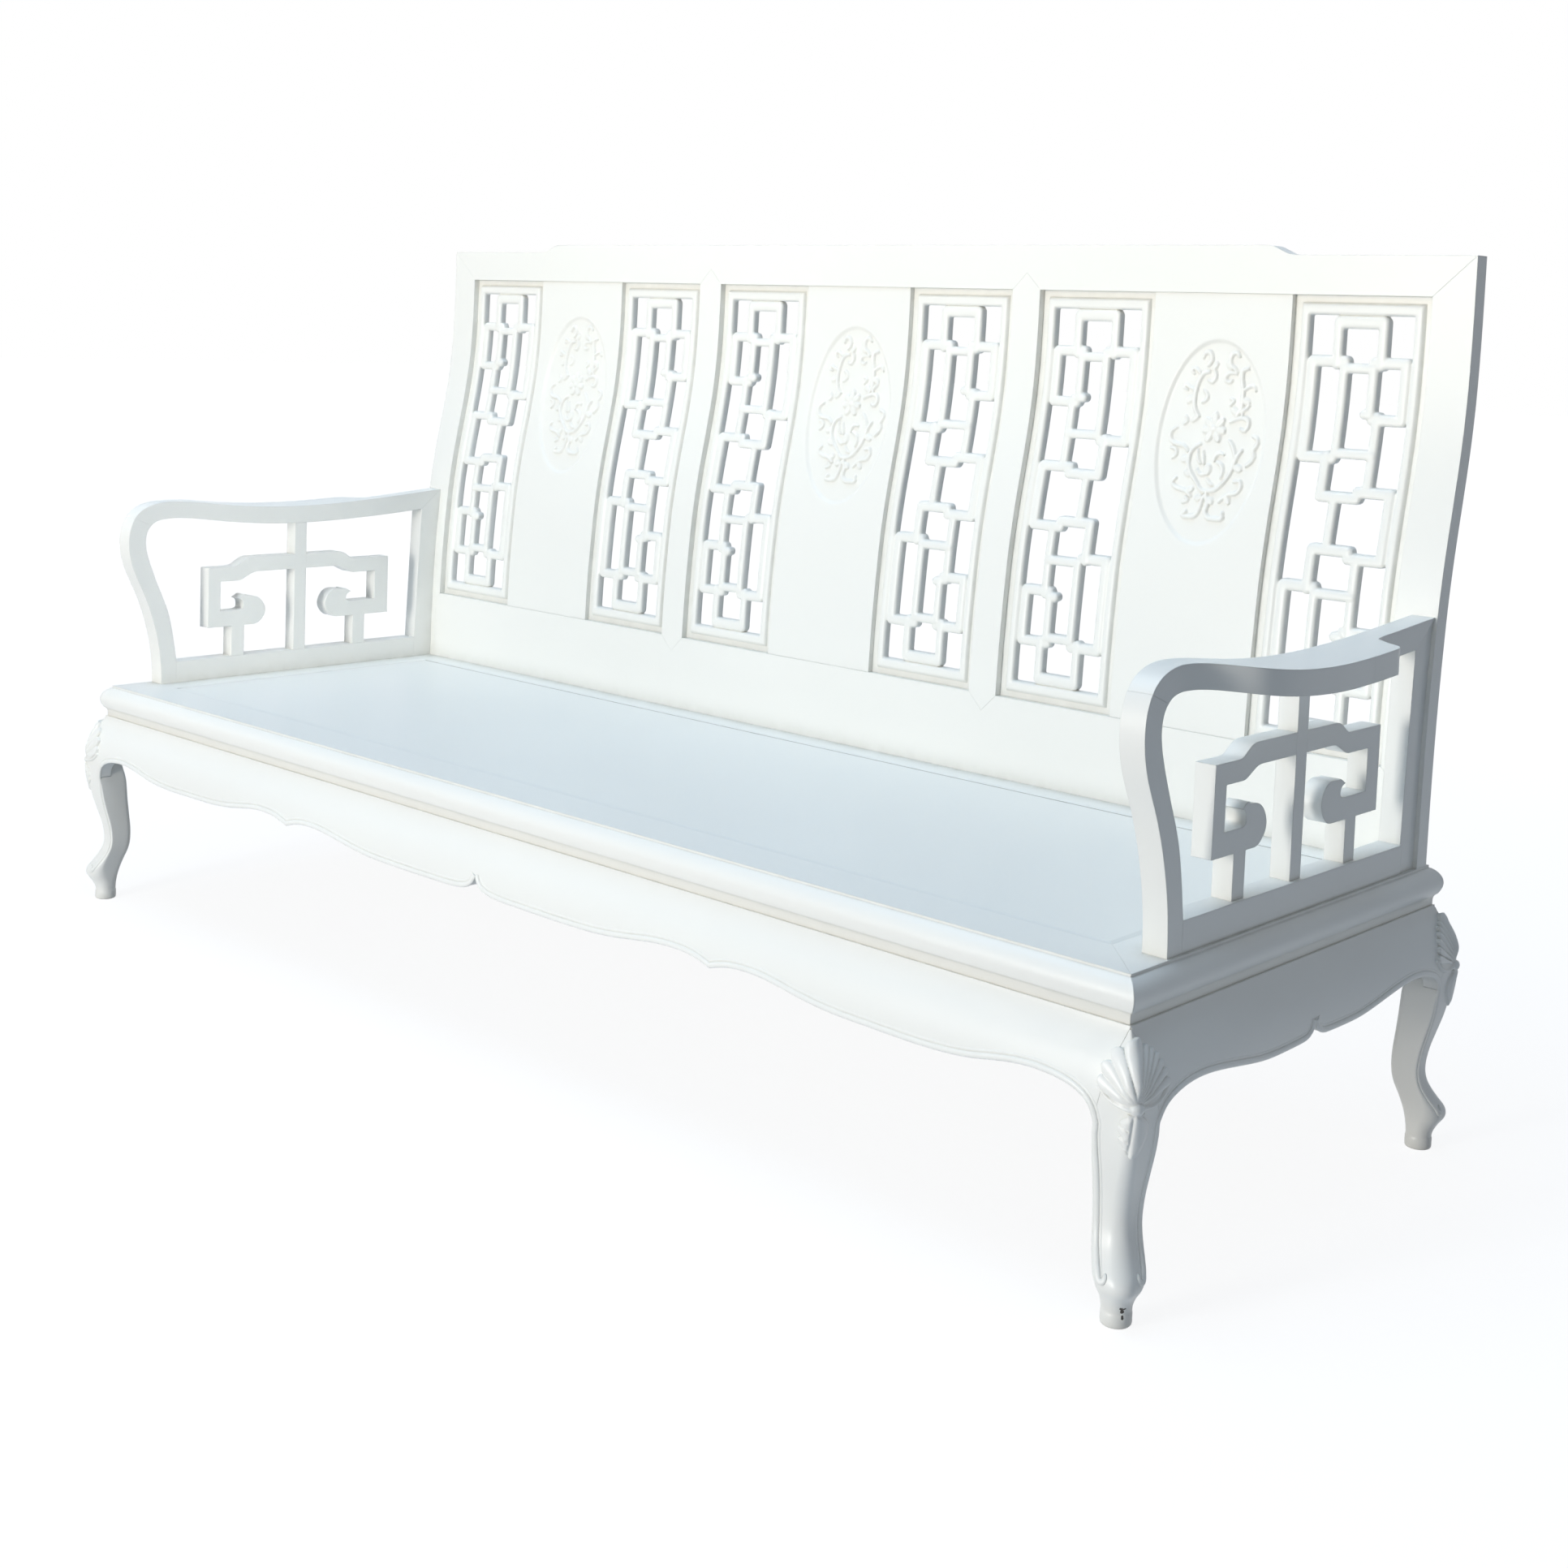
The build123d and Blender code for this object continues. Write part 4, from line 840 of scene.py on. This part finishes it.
def shell_height(s, z):
    """The fan of ribs, with its scalloped rim and the ridges along its lower edge."""
    ds, dz = s - SHELL_S, z - SHELL_Z
    angle, reach = np.arctan2(ds, dz), np.hypot(ds, dz)
    k = np.clip(np.searchsorted(GROOVES, angle, side="right") - 1, 0, len(GROOVES) - 2)
    within = (angle - GROOVES[k]) / (GROOVES[k + 1] - GROOVES[k])
    rib = np.sin(np.pi * np.clip(within, 0, 1)) ** 0.6
    narrow = NARROW_RIB * rib * np.where(k == MIDDLE_RIB, MIDDLE_SHARE, 1.0)
    crest = np.where(k < MIDDLE_RIB, BROAD_BASE + BROAD_RIB * rib, narrow)
    margin = np.interp(np.degrees(angle), RIM[:, 0], RIM[:, 1]) - SCALLOP * (1 - rib) - reach
    shell = smoothstep(0, 1.3, margin) * (SHELL_BASE + crest * smoothstep(4, 22, reach))
    shell = np.where(margin > 0, shell - DISH * smoothstep(0, 26, margin), 0)
    for line in LOW_EDGE:
        shell = np.maximum(shell, tube(s, z, line, 2.3, 3.4))
    return shell


def leaf_on_knee(s, z):
    """The leaf that hangs under the shell, with a middle vein and three on its long side."""
    left = np.interp(z, LEAF_LEFT[:, 0], LEAF_LEFT[:, 1])
    right = np.interp(z, LEAF_RIGHT[:, 0], LEAF_RIGHT[:, 1])
    inside = np.where(s < 0, left + s, right - s) * ((z > LEAF_LEFT[0, 0]) & (z < LEAF_LEFT[-1, 0]))
    leaf = smoothstep(0, 1.8, inside) * (LEAF_EDGE + LEAF_MIDDLE * smoothstep(2, 10, inside))
    vein = np.exp(-((s + 1.0 - (z - 190) * 0.05) / 1.2) ** 2)
    for foot, slant in SIDE_VEINS:
        vein = vein + 0.8 * np.exp(-((z - foot + s * slant) / 1.2) ** 2) * (s < -3)
    return np.where(inside > 0, np.maximum(leaf - VEIN_DEPTH * np.minimum(vein, 1.0), 0.3), 0)


def knee_relief(s, z):
    """Height of shell, knot, collar and leaf at s round from the arris."""
    wide, tall = KNOT_HALF
    knot = 1 - ((s - SHELL_S) / wide) ** 2 - ((z - KNOT_Z) / tall) ** 2
    return np.maximum.reduce([shell_height(s, z), KNOT_H * np.sqrt(np.clip(knot, 0, 1)),
                              tube(s, z, COLLAR, 1.7, 3.0), leaf_on_knee(s, z)])


def carve_knee(name, x_side, y_side):
    """Carving on one knee: a closed skin that sinks into the wood where nothing is raised."""
    ss, zs = np.linspace(-44, 62, 151), np.linspace(168, 286, 169)
    s, z = (g.ravel() for g in np.meshgrid(ss, zs))
    height = knee_relief(s, z)
    arris = KNEE_ARRIS * smoothstep(212, 222, z) * (1 - smoothstep(266, 280, z))
    skin = on_leg(x_side, y_side, *round_leg(s, z, height + SINK, arris))
    core = on_leg(x_side, y_side, *round_leg(s, z, np.full(s.size, CORE)))
    n, rows, cols = s.size, len(zs), len(ss)
    keep = (height > 0.0).reshape(rows, cols)
    faces, edges = [], {}
    for i in range(rows - 1):
        for j in range(cols - 1):
            if keep[i:i + 2, j:j + 2].any():
                q = (i * cols + j, i * cols + j + 1, (i + 1) * cols + j + 1, (i + 1) * cols + j)
                faces.append(q)
                for a, b in zip(q, q[1:] + q[:1]):
                    if (b, a) in edges:
                        del edges[b, a]
                    else:
                        edges[a, b] = True
    back = [tuple(k + n for k in reversed(f)) for f in faces]
    walls = [(b, a, a + n, b + n) for a, b in edges]
    faces = faces + back + walls
    if x_side * y_side > 0:
        faces = flipped(faces)
    used = sorted({k for f in faces for k in f})
    index = {k: m for m, k in enumerate(used)}
    faces = [tuple(index[k] for k in f) for f in faces]
    make_piece(name, np.vstack([skin, core])[used], faces, sharp=75.0,
               material=chipped if name == "knee_carving_front_right" else paint)


# ---- beads along the aprons and down the legs -----------------------------------------------
# half of each apron's lower edge, from its middle to the leg's shoulder, as (along, height)
FRONT_EDGE = [[(0, 239), (3.5, 231.5), (14, 223), (32, 218.5), (70, 216.8), (190, 216.8),
               (240, 219.0), (290, 225.0), (330, 230.0), (365, 231.3), (395, 228.5),
               (418, 222.2)],
              [(418, 222.2), (440, 228.2), (470, 231.2), (500, 230.2), (545, 223.8),
               (600, 217.8), (650, 216.5), (745, 216.5), (790, 221.0), (825, 227.6),
               (858, 231.0), (888, 229.8), (913, 224.0), (928, 213.5),
               (HALF + SHOULDER_IN, SHOULDER)]]
END_EDGE = [[(0, 231), (3.5, 223.0), (12, 215.5), (28, 212.5), (60, 211.8), (95, 212.2),
             (140, 217.2), (180, 223.0), (212, 226.2), (243, 225.6), (268, 220.5),
             (286, 211.0), (SEAT_D / 2 + SHOULDER_IN, SHOULDER)]]
REAR_EDGE = [[(0, 222), (300, 222), (700, 222), (830, 226), (888, 226.0), (913, 221.5),
              (928, 212.0), (HALF + SHOULDER_IN, SHOULDER)]]
BEAD_W, BEAD_H = 6.6, 2.1
LEG_TOP, BEAD_FOOT = 195.0, 49.0        # the bead's run down the leg
SCROLL_R0, SCROLL_R1, SCROLL_TURN = 5.2, 2.2, 250       # the little scroll at its foot
# a low fillet beside the bead, with a quirk between them: (distance from the bead, height)
FILLET = [(3.8, -0.4), (3.0, 0.15), (2.0, 0.60), (1.1, 0.52), (0.5, 0.05)]
BURIED = -1.5                           # the bead's underside, inside the wood


def edge_drop(inset, z):
    """How far a leg's face has rounded away at a distance in from its inner edge."""
    radius = np.interp(z, SIDES[:, 0], SIDES[:, 1])
    short = np.clip(radius - inset, 0, radius)
    return np.where(z < SHOULDER, radius - np.sqrt(radius ** 2 - short ** 2), 0)


def across_line(line):
    """Unit vectors square to a line, to its left."""
    step = np.gradient(line, axis=0)
    step /= np.linalg.norm(step, axis=1)[:, None] + 1e-9
    return np.column_stack([-step[:, 1], step[:, 0]])


def bead_line(edge, half):
    """Half of a bead's line on a flat face: (distance from the middle, height), to the foot."""
    runs = [smooth_line(run, 4.0) for run in edge]
    z = np.arange(LEG_TOP, BEAD_FOOT, -3.0)
    soft = np.interp(z, SIDES[:, 0], SIDES[:, 1])
    shift = 0.6 * soft + 1.8 * smoothstep(0, 45, LEG_TOP - z)   # clear of the leg's inner edge
    leg = np.column_stack([half + inward(z) + shift, z])
    line = np.vstack([runs[0]] + [r[1:] for r in runs[1:]] + [leg])
    line = line + across_line(line) * (BEAD_W / 2 - 0.5)        # up from the edge, into the face
    line[0, 0] = max(line[0, 0], 0.0)
    a = np.radians(np.arange(0, SCROLL_TURN, 18))
    radius = np.linspace(SCROLL_R0, SCROLL_R1, len(a))
    end = line[-1] + np.array([SCROLL_R0, 0])
    curl = np.column_stack([end[0] - radius * np.cos(a), end[1] - radius * np.sin(a) * 1.15])
    return np.vstack([line, curl[1:]])


def sweep_bead(name, line, lay, flip):
    """A half-round bead along a line; lay turns (along, height, lift) into the row frame."""
    across = across_line(line)
    profile = [(BEAD_W / 2, away, lift) for away, lift in FILLET]
    profile += [(BEAD_W / 2 * math.cos(a), 0.0, BEAD_H * math.sin(a))
                for a in np.radians(np.linspace(0, 180, 9))]
    profile += [(-BEAD_W / 2, 0.0, BURIED), (BEAD_W / 2, FILLET[0][0], BURIED)]
    width, calm = np.ones(len(line)), np.ones(len(line))
    width[-8:] = np.linspace(1.0, 0.62, 8)          # the scroll tapers
    calm[-24:] = np.linspace(1.0, 0.02, 24)         # the fillet dies out before the scroll
    rings = []
    for off, away, lift in profile:
        p = line + across * (off * width + away * calm)[:, None]
        rise = lift * width * (calm if away > 0 else 1.0) if lift > 0 else np.full(len(p), lift)
        rings.append(lay(p[:, 0], p[:, 1], rise))
    rings = np.stack(rings, 1)
    faces = skin_rings(*rings.shape[:2])
    make_piece(name, rings.reshape(-1, 3), flipped(faces) if flip else faces, sharp=60.0)


def off_face(inset, z, lift):
    """(out, height) of a point lifted off a face, at a distance in from the leg's inner edge."""
    slope, size = lean(z)
    return outward(z) - edge_drop(inset, z) + lift / size, z - lift * slope / size


def lay_long(side, y_side):
    """Lays a bead's half on the front (y_side -1) or the rear face of the daybed."""
    def lay(a, z, lift):
        out, height = off_face(a - HALF - inward(z), z, lift)
        return place(side * a, -out if y_side < 0 else SEAT_D + out, height)
    return lay


def lay_end(side, x_side):
    """Lays a bead's half on the right-hand or left-hand end."""
    def lay(a, z, lift):
        out, height = off_face(a - SEAT_D / 2 - inward(z), z, lift)
        return place(x_side * (HALF + out), SEAT_D / 2 + side * a, height)
    return lay


for y_side, row in ((-1, "front"), (1, "rear")):
    for x_side, column in ((-1, "left"), (1, "right")):
        build_leg(f"leg_{row}_{column}", x_side, y_side)
        carve_knee(f"knee_carving_{row}_{column}", x_side, y_side)
        sweep_bead(f"bead_{row}_{column}",
                   bead_line(FRONT_EDGE if y_side < 0 else REAR_EDGE, HALF),
                   lay_long(x_side, y_side), x_side * y_side > 0)
        sweep_bead(f"bead_{column}_{row}", bead_line(END_EDGE, SEAT_D / 2),
                   lay_end(y_side, x_side), x_side * y_side < 0)
